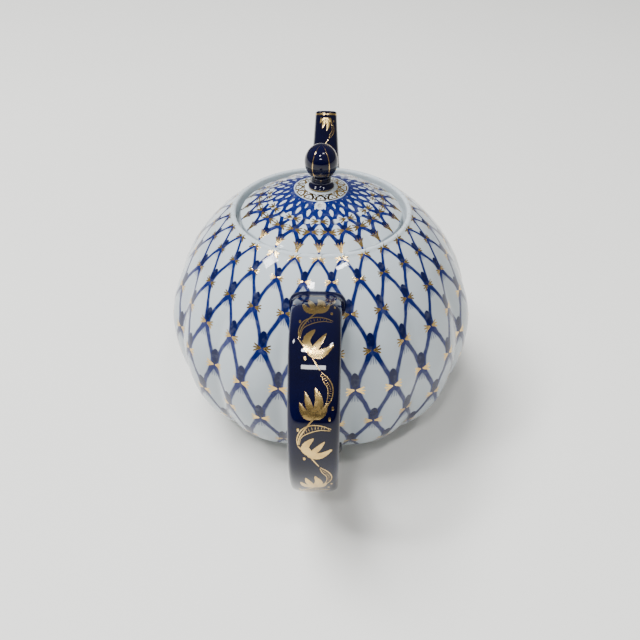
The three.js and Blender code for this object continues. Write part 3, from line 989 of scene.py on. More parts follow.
def make_net_porcelain_lid():
    material, bench = new_material("net_porcelain_lid")
    place = object_place(bench)
    x, y, _ = bench.split(place)
    radius = (x * x + y * y) ** 0.5 / MM
    columns, rows = net_place(bench, place, LID_COLUMNS, column_wobble=0.08, row_wobble=0.06)
    columns = columns + 0.5
    across, below, row = cell(columns, rows)
    column_width = radius.most(3.0) * (2 * math.pi / LID_COLUMNS)
    thin = LID_LINE / column_width
    soft = 0.11 / column_width

    lines = net_lines(bench, columns, rows, thin, thin * THICKENING, soft, bow=0.13)
    lines = lines * within(bench, rows, -0.06, 5.0)
    drops = drop_mask(bench, across, below, height=0.46, half_width=0.19, soft=soft)
    drops = drops * within(bench, rows, 3.5, 5.05)
    tips = drop_mask(bench, across, 0.0 - below, height=0.26, half_width=0.07, soft=soft)
    tips = tips * within(bench, rows, 4.95, 5.4)
    splays = splay_mask(bench, across, below, 0.42, half_width=0.045, slope=0.3, soft=soft)
    splays = splays * within(bench, rows, 0.0, 4.5)
    whole = (columns * 0.5).off_whole()
    every_second = bench.smooth(abs(whole), 0.20, 0.30)
    on_third = within(bench, row, 2.5, 3.5)
    blob = oval(across, below, narrow=18, flat=9)
    thick = bench.smooth(blob, 0.0, 0.35) * on_third * every_second
    gap = oval(across, below - 0.02, narrow=5.2, flat=16)
    pocket = bench.smooth(gap, 0.0, 0.25) * on_third * (1 - every_second)
    vent_far = ((x / MM + VENT_RADIUS) ** 2 + (y / MM) ** 2) ** 0.5
    open_white = pocket.most(1 - bench.smooth(vent_far, 1.9, 2.3))

    pigment = lines.most(splays * SPLAY_PIGMENT).most(drops).most(tips).most(thick) * (1 - open_white)
    finish_net(bench, place, pigment, drops.most(thick).most(lines * LINE_DEPTH))
    return material


net_porcelain_lid = make_net_porcelain_lid()
print("lid porcelain:", len(net_porcelain_lid.node_tree.nodes), "nodes")

# %% [markdown]
# ## Making the lid and its vent

# %% Turning the lid
lid_points = lid_outline.array()[::-1]
lid_down = map_down(lid_rows)[::-1]
lid_press = np.zeros((len(lid_points), 3))
on_dome = lid_points[:, 1] > LID_EDGE - 0.01
lid_press[on_dome, 2] = LID_LOBE_DEPTH * smoothstep(lid_points[on_dome, 0] / LID_RADIUS, 0.35, 0.85)
lid_outline.points = [tuple(p) for p in lid_points]
lid_fine = turned_piece("lid_fine", lid_outline, lid_down, net_porcelain_lid, press=lid_press)


def round_drill(name, place, diameter, length):
    """An upright cylinder to cut with."""
    count = DRILL_SIDES
    angles = np.linspace(0, 2 * math.pi, count, endpoint=False)
    ring = np.column_stack([np.cos(angles), np.sin(angles)]) * diameter / 2 + np.array(place[:2])
    low = [(x, y, place[2] - length / 2) for x, y in ring]
    high = [(x, y, place[2] + length / 2) for x, y in ring]
    ends = [tuple(range(count - 1, -1, -1)), tuple(range(count, 2 * count))]
    sides = [(i, (i + 1) % count, count + (i + 1) % count, count + i) for i in range(count)]
    return new_piece(name, low + high, faces=ends + sides)


cut_away(lid_fine, round_drill("vent_drill", (-VENT_RADIUS, 0, LID_CROWN - 2), VENT_DIAMETER, 14))
print("lid:", triangles(lid_fine), "triangles")

# %% [markdown]
# ## The knob
#
# A bud on a short neck, turned in one piece with its foot.

# %% Turning the knob
KNOB_FOOT_RADIUS = 5.1
KNOB_NECK_RADIUS = 3.8
NECK_HEIGHT = 0.19 * (KNOB_TOP - KNOB_BASE)
BUD_MIDDLE = (KNOB_BASE + NECK_HEIGHT + KNOB_TOP) / 2
BUD_HALF = KNOB_TOP - BUD_MIDDLE


def draw_knob():
    outline = Outline(0, LID_CROWN).line(KNOB_FOOT_RADIUS - 0.5, LID_CROWN, steps=4)
    outline.sweep((KNOB_FOOT_RADIUS, LID_CROWN), (KNOB_FOOT_RADIUS, KNOB_BASE + 0.5), steps=5)
    outline.sweep(
        (KNOB_FOOT_RADIUS, KNOB_BASE + 1.3), (KNOB_NECK_RADIUS, KNOB_BASE + 1.2),
        (KNOB_NECK_RADIUS, KNOB_BASE + 0.8 * NECK_HEIGHT), steps=8,
    )
    bud = len(outline.points)
    start = -math.acos(KNOB_NECK_RADIUS / KNOB_RADIUS)
    angles = np.linspace(start + 0.16, math.pi / 2, 40)
    waist = (KNOB_RADIUS * math.cos(angles[0]), BUD_MIDDLE + BUD_HALF * math.sin(angles[0]))
    outline.sweep((KNOB_NECK_RADIUS, waist[1] - 1.0), (waist[0] - 0.35, waist[1] - 0.45), waist, steps=6)
    for angle in angles[1:-1]:
        outline.points.append((KNOB_RADIUS * math.cos(angle), BUD_MIDDLE + BUD_HALF * math.sin(angle)))
    outline.points.append((0, KNOB_TOP))
    return outline, bud


knob_outline, BUD_FIRST = draw_knob()
knob_lengths = knob_outline.lengths()
knob_down = knob_lengths / knob_lengths[-1]
knob_fine = turned_piece("knob_fine", knob_outline, knob_down, cobalt_glaze, turns=64)
print("knob:", triangles(knob_fine), "triangles")

# %% [markdown]
# ## Swept shapes
#
# The handle is a flattened rod bent to a loop, and the spout is a bent tube. Both are cast in moulds, but
# their form is that of one section carried along a route. The recipe takes the route's stations, each
# with two vectors of its own: `across`, to the section's side, and `out`, to its outer face. It places
# the section's points on every station. The section is drawn apart, with its points evenly spread.

# %% The sweeping recipe
def through(points, steps):
    """A smooth curve through the points: centripetal Catmull-Rom, spaced by the first two columns."""
    points = np.asarray(points, float)
    points = np.vstack([2 * points[0] - points[1], points, 2 * points[-1] - points[-2]])
    gaps = np.linalg.norm(np.diff(points[:, :2], axis=0), axis=1) ** 0.5
    curve = []
    for k in range(1, len(points) - 2):
        a, b, c = gaps[k - 1], gaps[k], gaps[k + 1]
        before, here, after, beyond = points[k - 1:k + 3]
        leave = ((here - before) / a - (after - before) / (a + b) + (after - here) / b) * b
        arrive = ((after - here) / b - (beyond - here) / (b + c) + (beyond - after) / c) * b
        for t in np.arange(steps) / steps:
            turn = 2 * here - 2 * after + leave + arrive
            bend = 3 * after - 3 * here - 2 * leave - arrive
            curve.append(here + leave * t + bend * t**2 + turn * t**3)
    curve.append(points[-2])
    return np.array(curve)


def evenly(line, count):
    """The same line with its points evenly spaced along its first two columns, and its length."""
    line = np.asarray(line, float)
    way = np.concatenate([[0], np.cumsum(np.linalg.norm(np.diff(line[:, :2], axis=0), axis=1))])
    marks = np.linspace(0, way[-1], count)
    return np.column_stack([np.interp(marks, way, column) for column in line.T]), way[-1]


def make_sweeping_recipe():
    bench, given = new_recipe("swept_shape", [("Section", "Object"), ("Material", "Material")])
    stations = given["Geometry"]
    section = bench.add("GeometryNodeObjectInfo", {}, {"Object": given["Section"]})["Geometry"]
    grid, row, column = numbered_grid(bench, point_count(bench, stations), point_count(bench, section))
    position = bench.add("GeometryNodeInputPosition")[0]
    centre = sampled(bench, stations, row, position)
    across = sampled(bench, stations, row, stored(bench, "across"))
    out = sampled(bench, stations, row, stored(bench, "out"))
    down = sampled(bench, stations, row, stored(bench, "down", "FLOAT"), "FLOAT")
    side, front, _ = bench.split(sampled(bench, section, column, position))
    share = sampled(bench, section, column, stored(bench, "round", "FLOAT"), "FLOAT")
    aside = scaled(bench, across, side / MM)
    outward = scaled(bench, out, front / MM)
    spot = added(bench, centre, added(bench, aside, outward))
    return end_recipe(bench, closed_sheet(bench, grid, spot, share, down), given["Material"])


sweeping = make_sweeping_recipe()


def make_section(name, squareness, over, count):
    """A rounded rectangle of half sizes 1. It starts behind, and its front is half way round. over is its
    width over its depth, for an even spread of the points."""
    angles = np.linspace(-math.pi, math.pi, 4001)
    side = np.sign(np.sin(angles)) * np.abs(np.sin(angles)) ** (2 / squareness)
    front = np.sign(np.cos(angles)) * np.abs(np.cos(angles)) ** (2 / squareness)
    way = np.concatenate([[0], np.cumsum(np.hypot(np.diff(side * over), np.diff(front)))])
    shares = np.linspace(0, 1, count + 1)
    side = np.interp(shares, way / way[-1], side)
    front = np.interp(shares, way / way[-1], front)
    section = new_piece(name, np.column_stack([side, front, np.zeros(count + 1)]))
    store(section, "round", "FLOAT", shares)
    return section


def face_outward(piece):
    """Turns the faces of a closed piece outward."""
    mesh = bmesh.new()
    mesh.from_mesh(piece.data)
    volume = mesh.calc_volume(signed=True)
    mesh.free()
    if volume < 0:
        piece.data.flip_normals()
    return piece


def swept_piece(name, centres, across, out, down, section, material):
    piece = new_piece(name, centres, edges=[(i, i + 1) for i in range(len(centres) - 1)])
    store(piece, "across", "FLOAT_VECTOR", across * MM)
    store(piece, "out", "FLOAT_VECTOR", out * MM)
    store(piece, "down", "FLOAT", down)
    run_recipe(piece, sweeping, {"Section": section, "Material": material})
    return face_outward(piece)


def root_flare(distance, height=1.2, reach=1.0):
    """How much a root swells towards the wall, where the slip that joins it was smoothed."""
    return height * np.exp(-np.maximum(distance, 0) / reach)


print("sweeping recipe:", len(sweeping.nodes), "nodes")

# %% [markdown]
# ## The handle
#
# The handle leaves the shoulder, rises a little, drops along a flat grip and turns back in above the
# foot. Its section is a rounded strap, wider towards both ends.

# %% Sweeping the handle
HANDLE_TOP = 82.2
HANDLE_FOOT = 17
HANDLE_SPAN = HANDLE_TOP - HANDLE_FOOT
HANDLE_GRIP = 92.5
HANDLE_REACH = 27.5
HANDLE_HALF_WIDTH = 8.6
HANDLE_HALF_DEPTH = 3.3
HANDLE_SQUARENESS = 3.6
HANDLE_STATIONS = 200
HANDLE_SIDES = 72


def handle_route():
    """(outward, height) from the upper root to the lower one."""
    top, foot, span, grip = HANDLE_TOP, HANDLE_FOOT, HANDLE_SPAN, HANDLE_GRIP
    shoulder = float(outside_radius(top, math.pi))
    belly = float(outside_radius(foot, math.pi))
    return [
        (shoulder - 8, top - 4),
        (shoulder + 4, top + 3),
        (shoulder + 0.32 * (grip - shoulder), top + 0.10 * span),
        (shoulder + 0.59 * (grip - shoulder), top + 0.07 * span),
        (grip - 0.31 * HANDLE_REACH, top - 0.08 * span),
        (grip - 0.07 * HANDLE_REACH, top - 0.26 * span),
        (grip, top - 0.5 * span),
        (grip - 0.12 * HANDLE_REACH, foot + 0.30 * span),
        (grip - 0.35 * HANDLE_REACH, foot + 0.14 * span),
        (grip - 0.71 * HANDLE_REACH, foot + 0.04 * span),
        (belly + 2, foot + 0.5),
        (belly - 9, foot + 4),
    ]


handle_line = through(handle_route(), 24)


def make_handle():
    line, length = evenly(handle_line, HANDLE_STATIONS)
    share = np.linspace(-1, 1, len(line))
    outside = np.interp(line[:, 1], OUTSIDE[:, 1], OUTSIDE[:, 0])
    swell = root_flare((line[:, 0] - outside) * 0.9)
    half_width = HANDLE_HALF_WIDTH * (1 + 0.06 * abs(share) ** 4) + swell
    half_depth = HANDLE_HALF_DEPTH * (1 + 0.25 * abs(share) ** 4) + swell
    along = np.gradient(line, axis=0)
    along /= np.linalg.norm(along, axis=1)[:, None]
    nothing = np.zeros(len(line))
    out = np.column_stack([along[:, 1], nothing, along[:, 0]]) * half_depth[:, None]
    across = np.column_stack([nothing, -half_width, nothing])
    out[[0, -1]] = 0
    across[[0, -1]] = 0
    centres = np.column_stack([-line[:, 0], nothing, line[:, 1]])
    over = HANDLE_HALF_WIDTH / HANDLE_HALF_DEPTH
    section = make_section("strap_section", HANDLE_SQUARENESS, over, HANDLE_SIDES)
    down = np.linspace(0, 1, len(line))
    piece = swept_piece("handle_fine", centres, across, out, down, section, cobalt_glaze)
    bpy.data.objects.remove(section)
    return piece, length


handle_fine, HANDLE_LENGTH = make_handle()
print("handle:", triangles(handle_fine), "triangles,", round(HANDLE_LENGTH), "mm long")

# %% [markdown]
# ## The spout
#
# The spout is a tube: it leaves the belly wide, narrows as it rises, and ends in a level lip just above
# the rim, so the pot can be filled. Its outer wall runs up to the lip and its inner wall back down.

# %% Sweeping the spout
SPOUT_REACH = 28
SPOUT_TIP_RISE = 1.8
SPOUT_ROOT = 13.5
SPOUT_NECK = 7.2
SPOUT_TIP = 5.4
SPOUT_WALL = 2
SPOUT_SQUARENESS = 2.8
SPOUT_STATIONS = 90
SPOUT_SIDES = 64
OUTER_SHARE = 0.45


def spout_route():
    """(outward, height, half width, half depth) from the root to the lip."""
    root = float(np.interp(SPOUT_ROOT_HEIGHT, OUTSIDE[:, 1], OUTSIDE[:, 0]))
    tip = BODY_RADIUS + SPOUT_REACH
    lip = BODY_HEIGHT + SPOUT_TIP_RISE
    rise = lip - SPOUT_ROOT_HEIGHT
    return [
        (root - 14, SPOUT_ROOT_HEIGHT - 6, SPOUT_ROOT * 1.04, SPOUT_ROOT * 1.15),
        (root + 2, SPOUT_ROOT_HEIGHT + 0.04 * rise, SPOUT_ROOT * 0.86, SPOUT_ROOT * 0.92),
        (root + 12, SPOUT_ROOT_HEIGHT + 0.26 * rise, SPOUT_NECK * 1.25, SPOUT_NECK * 1.3),
        (tip - 11, SPOUT_ROOT_HEIGHT + 0.6 * rise, SPOUT_NECK, SPOUT_NECK * 0.98),
        (tip - 4.5, SPOUT_ROOT_HEIGHT + 0.84 * rise, SPOUT_TIP * 1.12, SPOUT_TIP * 1.08),
        (tip, lip, SPOUT_TIP, SPOUT_TIP * 0.95),
    ]


spout_line = through(spout_route(), 20)


def make_spout():
    line, length = evenly(spout_line, SPOUT_STATIONS)
    along = np.gradient(line[:, :2], axis=0)
    along /= np.linalg.norm(along, axis=1)[:, None]
    outside = np.interp(line[:, 1], OUTSIDE[:, 1], OUTSIDE[:, 0])
    swell = root_flare((line[:, 0] - outside) - 2)
    sizes = line[:, 2:] + swell[:, None]
    turns = np.linspace(0, math.pi, 9)[1:-1]
    lip = SPOUT_WALL / 2
    inset = lip * (1 - np.cos(turns))
    beyond = lip * np.sin(turns) * 0.9
    lip_places = line[-1, :2] + along[-1] * beyond[:, None]
    lip_sizes = line[-1, 2:] - inset[:, None]
    inner_sizes = line[::-1, 2:] - SPOUT_WALL
    places = np.vstack([line[:, :2], lip_places, line[::-1, :2], line[:1, :2]])
    sizes = np.vstack([sizes, lip_sizes, inner_sizes, sizes[:1]])
    ways = np.vstack([along, np.repeat(along[-1:], len(turns), axis=0), along[::-1], along[:1]])
    nothing = np.zeros(len(places))
    centres = np.column_stack([places[:, 0], nothing, places[:, 1]])
    across = np.column_stack([nothing, sizes[:, 0], nothing])
    out = np.column_stack([ways[:, 1], nothing, -ways[:, 0]]) * sizes[:, 1:]
    outer = np.linspace(0, OUTER_SHARE, len(line))
    rounded = np.linspace(0.46, 0.49, len(turns))
    way = np.concatenate([outer, rounded, np.linspace(0.5, 0.98, len(line)), [1.0]])
    section = make_section("tube_section", SPOUT_SQUARENESS, 1, SPOUT_SIDES)
    piece = swept_piece("spout_fine", centres, across, out, way, section, cobalt_glaze)
    bpy.data.objects.remove(section)
    return piece, length


spout_fine, SPOUT_LENGTH = make_spout()
print("spout:", triangles(spout_fine), "triangles,", round(SPOUT_LENGTH), "mm long")

# %% [markdown]
# ## Gilding as thin artwork
#
# Gold is brushed on over the fired glaze, so it stands a few hundredths of a millimetre proud and keeps a
# crisp edge. `Brush` draws flat artwork from strokes whose edges are sunk just under the surface. The
# recipe repeats the artwork over columns and rows and lays each point on the target by looking its place
# up in the target's own map, so the gold follows every lobe and bend.

# %% The gilding recipe
def make_gilding_recipe():
    bench, given = new_recipe("gilded_artwork", [
        ("Target", "Object"), ("Columns", "Int"), ("Rows", "Int"), ("First Column", "Float"),
        ("Column Step", "Float"), ("First Row", "Float"), ("Row Step", "Float"), ("Row Shift", "Float"),
        ("Whole Turn", "Float"), ("Map First", "Float"), ("Map Height", "Float"), ("From", "Float"),
        ("To", "Float"), ("Material", "Material"),
    ])
    spots = bench.add("GeometryNodePoints", {}, {"Count": given["Columns"] * given["Rows"]})[0]
    index = bench.add("GeometryNodeInputIndex")[0]
    line = ((index + 0.5) / given["Columns"]).floor()
    column = index - line * given["Columns"]
    row = line * given["Row Step"] + given["First Row"]
    shift = (row * 0.5).wrap() * 2 * given["Row Shift"]
    column = column * given["Column Step"] + given["First Column"] + shift
    spot = bench.join(column * MM, row * MM, 0.0)
    moved = bench.add("GeometryNodeSetPosition", {}, {"Geometry": spots, "Position": spot})[0]
    copies = {"Points": moved, "Instance": given["Geometry"]}
    copied = bench.add("GeometryNodeInstanceOnPoints", {}, copies)[0]
    flat = bench.add("GeometryNodeRealizeInstances", {}, {0: copied})[0]

    across, below, raised = bench.split(bench.add("GeometryNodeInputPosition")[0])
    across = across / MM
    below = below / MM
    share = (across / given["Whole Turn"] + 0.5).wrap()
    down = (below - given["Map First"]) / given["Map Height"]
    place_on_map = bench.join(share, down, 0.0)
    target = bench.add("GeometryNodeObjectInfo", {}, {"Object": given["Target"]})["Geometry"]
    sheet = stored(bench, "sheet")

    def looked_up(value):
        sockets = {0: target, 1: value, 2: sheet, 3: place_on_map}
        return bench.add("GeometryNodeSampleUVSurface", {"data_type": "FLOAT_VECTOR"}, sockets)

    found = looked_up(bench.add("GeometryNodeInputPosition")[0])
    normal = looked_up(bench.add("GeometryNodeInputNormal")[0])[0]
    spot = added(bench, found[0], scaled(bench, normal, raised))
    short = below.maths("LESS_THAN", below, given["From"])
    past = below.maths("GREATER_THAN", below, given["To"])
    missing = (1 - found["Is Valid"]).most(short).most(past)
    kept = bench.add("GeometryNodeDeleteGeometry", {}, {"Geometry": flat, "Selection": missing})[0]
    placed = bench.add("GeometryNodeSetPosition", {}, {"Geometry": kept, "Position": spot})[0]
    shaded = bench.add("GeometryNodeSetShadeSmooth", {}, {"Geometry": placed})[0]
    return end_recipe(bench, shaded, given["Material"])


def map_of(whole_turn, first, height):
    """How a target's map is measured: once round it, and down it from first."""
    return {"Whole Turn": float(whole_turn), "Map First": float(first), "Map Height": float(height)}


gilding_recipe = make_gilding_recipe()
BODY_MAP = map_of(NET_COLUMNS, MAP_FIRST_ROW, MAP_ROWS)
LID_MAP = map_of(LID_COLUMNS, MAP_FIRST_ROW, MAP_ROWS)
WHOLE_MAP = (-1000, 1000)
FACES_TRIED = 200


class Brush:
    """Flat artwork in millimetres, x across and y down. scale turns millimetres into the map's units."""

    RAISED = 0.075
    SUNK = 0.03

    def __init__(self, scale=(1, 1)):
        self.scale = np.array([*scale, 1])
        self.points = []
        self.faces = []

    def stroke(self, line, half, sides=3):
        line = np.asarray(line, float)
        half = np.maximum(np.broadcast_to(half, len(line)), 0.02)
        along = np.gradient(line, axis=0)
        along /= np.maximum(np.linalg.norm(along, axis=1), 1e-9)[:, None]
        left = np.column_stack([-along[:, 1], along[:, 0]])
        first = len(self.points)
        count = len(line)
        for offset in np.linspace(-1, 1, sides):
            spots = line + left * (half * offset)[:, None]
            rise = np.full(count, self.RAISED * (1 - offset**2) - self.SUNK)
            rise[[0, -1]] = -self.SUNK
            self.points += [tuple(p) for p in np.column_stack([spots, rise]) * self.scale]
        for side in range(sides - 1):
            for k in range(count - 1):
                a = first + side * count + k
                self.faces.append((a, a + 1, a + count + 1, a + count))
        return self

    def curve(self, controls, half, power=0.6, steps=6, sides=3):
        """A stroke through the controls, thin at both ends."""
        line = through(controls, steps)
        share = np.linspace(0.03, 0.97, len(line))
        return self.stroke(line, half * np.sin(math.pi * share) ** power, sides)

    def petal(self, base, bulge, tip, half, steps=5, sides=5):
        """A pointed leaf that bends past bulge and is widest nearer its base."""
        line = through([base, bulge, tip], steps)
        share = np.linspace(0, 1, len(line))
        width = (share + 0.06) ** 0.55 * (1 - share) ** 0.9
        return self.stroke(line, half * width / width.max(), sides)

    def dot(self, x, y, radius):
        reach = np.linspace(-1, 1, 7)
        line = np.column_stack([x + 0 * reach, y + radius * reach])
        return self.stroke(line, radius * (1 - reach**2) ** 0.5)


def gild(name, target, on_map, brush, copies=(1, 1), first=(0, 0), step=(1, 1), shift=0.0, span=WHOLE_MAP):
    """Lays the brush's artwork on the target, repeated over columns and rows, within a span of the map."""
    piece = new_piece(name, brush.points, faces=brush.faces)
    run_recipe(piece, gilding_recipe, {
        **on_map,
        "Target": target,
        "Columns": copies[0],
        "Rows": copies[1],
        "First Column": float(first[0]),
        "First Row": float(first[1]),
        "Column Step": float(step[0]),
        "Row Step": float(step[1]),
        "Row Shift": float(shift),
        "From": float(span[0]),
        "To": float(span[1]),
        "Material": gilding,
    })
    faces = piece.data.polygons
    leaning = 0.0
    for face in [faces[i] for i in range(0, len(faces), max(1, len(faces) // FACES_TRIED))]:
        found, _, normal, _ = target.closest_point_on_mesh(face.center)
        leaning += face.normal.dot(normal) if found else 0.0
    if leaning < 0:
        piece.data.flip_normals()
    print(name + ":", triangles(piece), "triangles")
    return piece


# %% [markdown]
# ## Gold stars
#
# A star is two little fans that meet at a waist, three strokes to a side. It is drawn at its size on the
# widest row, and the map shrinks it towards the rim and the foot. The stars of the first row, just under
# the rim, are larger and have three short strokes on top.

# %% Stars on the body
COLUMN_MM = 2 * math.pi * 0.96 * BODY_RADIUS / NET_COLUMNS
ROW_MM = 15.9
RIM_ROW_MM = 8.5
STAR_HALF = 4.1
STAR_RISE = 1.8
FAN_STROKES = 3


def draw_star(scale, size=1.0, crown=False):
    brush = Brush(scale)
    for side in (-1, 1):
        for k in range(FAN_STROKES):
            lean = (k - 1) * STAR_RISE * size
            reach = side * (STAR_HALF - 0.35 * abs(k - 1)) * size
            line = through([(side * 0.15 * size, 0), (0.5 * reach, 0.34 * lean), (reach, lean)], 3)
            share = np.linspace(0, 1, len(line))
            width = 0.4 + share**0.9 * (1 - share) ** 0.5 * 2.1
            brush.stroke(line, 0.5 * size * width)
    if crown:
        for lean in (-1, 0, 1):
            tip = -2.5 + 0.3 * abs(lean)
            line = np.array([(0.35 * lean, -0.5), (0.8 * lean, -1.6), (1.25 * lean, tip)]) * size
            brush.stroke(line, np.array([0.14, 0.26, 0.05]) * size)
    return brush


body_rows_count = len(ROW_HEIGHTS) - 1
body_stars = gild(
    "body_stars", pot_fine, BODY_MAP, draw_star((1 / COLUMN_MM, 1 / ROW_MM)),
    copies=(NET_COLUMNS, body_rows_count), first=(0, 1), shift=0.5,
)
rim_stars = gild(
    "rim_stars", pot_fine, BODY_MAP, draw_star((1 / COLUMN_MM, 1 / RIM_ROW_MM), size=1.12, crown=True),
    copies=(NET_COLUMNS, 1),
)

# %% [markdown]
# ## Gold on the lid
#
# Fans open inward along the edge, bow ties stand on the fourth row, larger stars sit in the white pockets
# of the third, and a collar of twelve arches runs round the knob.

# %% Stars and collar on the lid
LID_COLUMN_MM = 2 * math.pi * LID_OUTER_ROW / LID_COLUMNS
LID_ROW_MM = LID_OUTER_ROW * (1 - 1 / LID_ROW_RATIO)


def draw_edge_fan(scale):
    brush = Brush(scale)
    for lean in (-1, -0.36, 0.36, 1):
        line = through([(0.1 * lean, 1.1), (0.75 * lean, 0.1), (2.25 * lean, -1.25 + 0.35 * abs(lean))], 3)
        share = np.linspace(0, 1, len(line))
        width = 0.25 + share**0.9 * (1 - share) ** 0.5 * 1.5
        brush.stroke(line, 0.45 * width)
    return brush


LID_THIRD_MM = LID_COLUMN_MM / LID_ROW_RATIO**2
edge_fans = gild(
    "lid_edge_fans", lid_fine, LID_MAP, draw_edge_fan((1.1 / LID_COLUMN_MM, 1.1 / LID_ROW_MM)),
    copies=(LID_COLUMNS, 1), first=(0, 5),
)
lid_bows = gild(
    "lid_bows", lid_fine, LID_MAP, draw_star((LID_ROW_RATIO / LID_COLUMN_MM, 1 / LID_ROW_MM), size=0.86),
    copies=(LID_COLUMNS, 1), first=(0.5, 4),
)
lid_stars = gild(
    "lid_stars", lid_fine, LID_MAP, draw_star((1 / LID_THIRD_MM, 1.15 / LID_ROW_MM), size=0.9),
    copies=(LID_COLUMNS // 2, 1), first=(0, 3), step=(2, 1),
)

COLLAR_ARCHES = 12
COLLAR_OUT = 10.3
COLLAR_IN = 6.3
COLLAR_MIDDLE = (COLLAR_OUT + COLLAR_IN) / 2


def draw_collar():
    """One of the twelve arches, with its part of the two rings. y runs outward from the lid's first row."""
    arch = 2 * math.pi * COLLAR_MIDDLE / COLLAR_ARCHES
    outer, inner = COLLAR_OUT - lid_row_radii[0], COLLAR_IN - lid_row_radii[0]
    brush = Brush((LID_COLUMNS / (2 * math.pi * COLLAR_MIDDLE), 1 / ROW_STEP))
    flat = np.linspace(-0.5, 0.5, 9) * arch
    brush.stroke(np.column_stack([flat, 0 * flat + outer - 0.3]), 0.5)
    brush.stroke(np.column_stack([flat, 0 * flat + inner + 0.4]), 0.5)
    leg = 0.36 * arch
    low, high = inner + 0.9, outer - 2.0
    controls = [(-leg, outer - 0.3), (-leg * 0.9, high), (0, low), (leg * 0.9, high), (leg, outer - 0.3)]
    brush.curve(controls, 0.8, power=0.2)
    brush.dot(0, outer - 1.35, 0.55)
    brush.dot(0.5 * arch, inner + 1.2, 0.6)
    brush.dot(0.5 * arch, outer - 1.2, 0.4)
    return brush


lid_collar = gild("lid_collar", lid_fine, LID_MAP, draw_collar(), copies=(COLLAR_ARCHES, 1), step=(2, 1))

# %% [markdown]
# ## Gold on the knob
#
# Six lines run from the neck to the top of the bud, each a little wider at mid height, and a band trims
# the foot.

# %% Lines on the knob
KNOB_LINES = 6
KNOB_TURN = 2 * math.pi * KNOB_RADIUS
KNOB_MAP = map_of(KNOB_TURN, 0, knob_lengths[-1])


def draw_knob_line():
    brush = Brush()
    low, high = knob_lengths[BUD_FIRST + 5], knob_lengths[-1] - 0.5
    line = np.column_stack([np.zeros(24), np.linspace(low, high, 24)])
    share = np.linspace(0, 1, 24)
    brush.stroke(line, 0.2 + 0.16 * np.sin(math.pi * share))
    return brush


def draw_ring(on_map, at, half, steps=64):
    flat = np.linspace(-0.4999, 0.4999, steps) * on_map["Whole Turn"]
    return Brush().stroke(np.column_stack([flat, 0 * flat + at]), half)


line_gap = KNOB_TURN / KNOB_LINES
knob_lines = gild(
    "knob_lines", knob_fine, KNOB_MAP, draw_knob_line(),
    copies=(KNOB_LINES, 1), first=(line_gap / 2, 0), step=(line_gap, 1),
)
knob_band = gild("knob_band", knob_fine, KNOB_MAP, draw_ring(KNOB_MAP, KNOB_FOOT_RADIUS + 0.25, 0.55))

# %% [markdown]
# ## The vine
#
# A stem winds from side to side of the strap. At each turn it carries a tulip with three or four petals,
# and across from the tulip lies a crescent leaf drawn as two outlines filled with short hatching. One
# length of vine is drawn once and repeated down the handle.

# %% Drawing the vine
VINE_PERIOD = 33
HATCHES = 14


def draw_crescent(brush, outer, inner):
    outer_line = through(outer, 8)
    inner_line = through(inner, 8)
    brush.curve(outer, 0.34, power=0.35)
    brush.curve(inner, 0.24, power=0.35)
    for mark in np.linspace(0.08, 0.94, HATCHES):
        a = outer_line[int(mark * (len(outer_line) - 1))]
        b = inner_line[int(mark * (len(inner_line) - 1))]
        brush.stroke(np.linspace(a, b, 3), 0.15)


def draw_side_tulip(brush, x, y):
    """A tulip that leans to the right, with a narrow petal between two full ones."""
    brush.petal((x - 1.0, y - 0.2), (x + 3.4, y + 0.6), (x + 8.4, y - 2.4), 1.9)
    brush.petal((x + 0.5, y + 0.1), (x - 1.4, y - 2.7), (x + 1.9, y - 6.6), 2.1)
    brush.petal((x + 0.8, y - 0.4), (x + 3.0, y - 2.4), (x + 5.5, y - 5.4), 1.3)


def draw_upright_tulip(brush, x, y):
    """A tulip seen from the front: a cup of two low petals, and two tall ones that stand in it."""
    brush.petal((x + 1.4, y - 0.1), (x - 2.7, y - 0.4), (x - 5.0, y - 4.4), 2.0)
    brush.petal((x - 1.2, y - 0.1), (x + 2.5, y - 0.6), (x + 4.6, y - 4.4), 1.8)
    brush.petal((x + 0.5, y - 0.2), (x + 1.7, y - 4.2), (x + 0.2, y - 9.2), 2.1)
    brush.petal((x - 0.3, y - 0.2), (x - 1.9, y - 3.9), (x - 3.0, y - 7.8), 1.6)


def draw_vine(size=1.0):
    """One length of vine, from one tulip to the next but one."""
    brush = Brush((size, size))
    draw_crescent(
        brush,
        [(-5.2, 36), (-5.4, 33.3), (-3.9, 30.2), (-0.7, 28.7), (2.9, 28.8), (6.3, 30)],
        [(-4.8, 36), (-3.9, 32.8), (-1.4, 31.2), (2.2, 30.2), (6.0, 30.4)],
    )
    draw_side_tulip(brush, -1.4, 39.3)
    brush.curve([(-5.2, 36), (-4.3, 37), (-1.8, 39), (0, 41.8), (2.2, 44.9)], 0.4, power=0.25)
    draw_crescent(
        brush,
        [(2.2, 44.9), (5, 47.3), (6.3, 50), (6.1, 53.1), (3.9, 56.9)],
        [(2.2, 45.4), (3.2, 48), (4.5, 50), (4.7, 52.6), (3.6, 56.6)],
    )
    draw_upright_tulip(brush, 0.2, 58.8)
    brush.curve([(3.9, 56.9), (0.7, 59.1), (-2.9, 63.2), (-4.6, 66), (-5.2, 69)], 0.4, power=0.25)
    for x, y in ((5.4, 26.7), (-5.1, 30.2), (-3, 41.2), (6.4, 56.4)):
        brush.dot(x, y, 0.75)
    return brush


STRAP_TURN = 43.4
BAND_OFFSET = 3.2
BAND_HALF = 0.6
BAND_CLEAR = 1.5
HANDLE_MAP = map_of(STRAP_TURN, 0, HANDLE_LENGTH)


def surface_crossing(route, backward=False):
    """How far along its route a swept piece comes out of the body."""
    count = 400
    line, length = evenly(route, count)
    outside = np.interp(line[:, 1], OUTSIDE[:, 1], OUTSIDE[:, 0])
    beyond = np.flatnonzero(line[:, 0] > outside)
    return (beyond[-1] if backward else beyond[0]) / (count - 1) * length


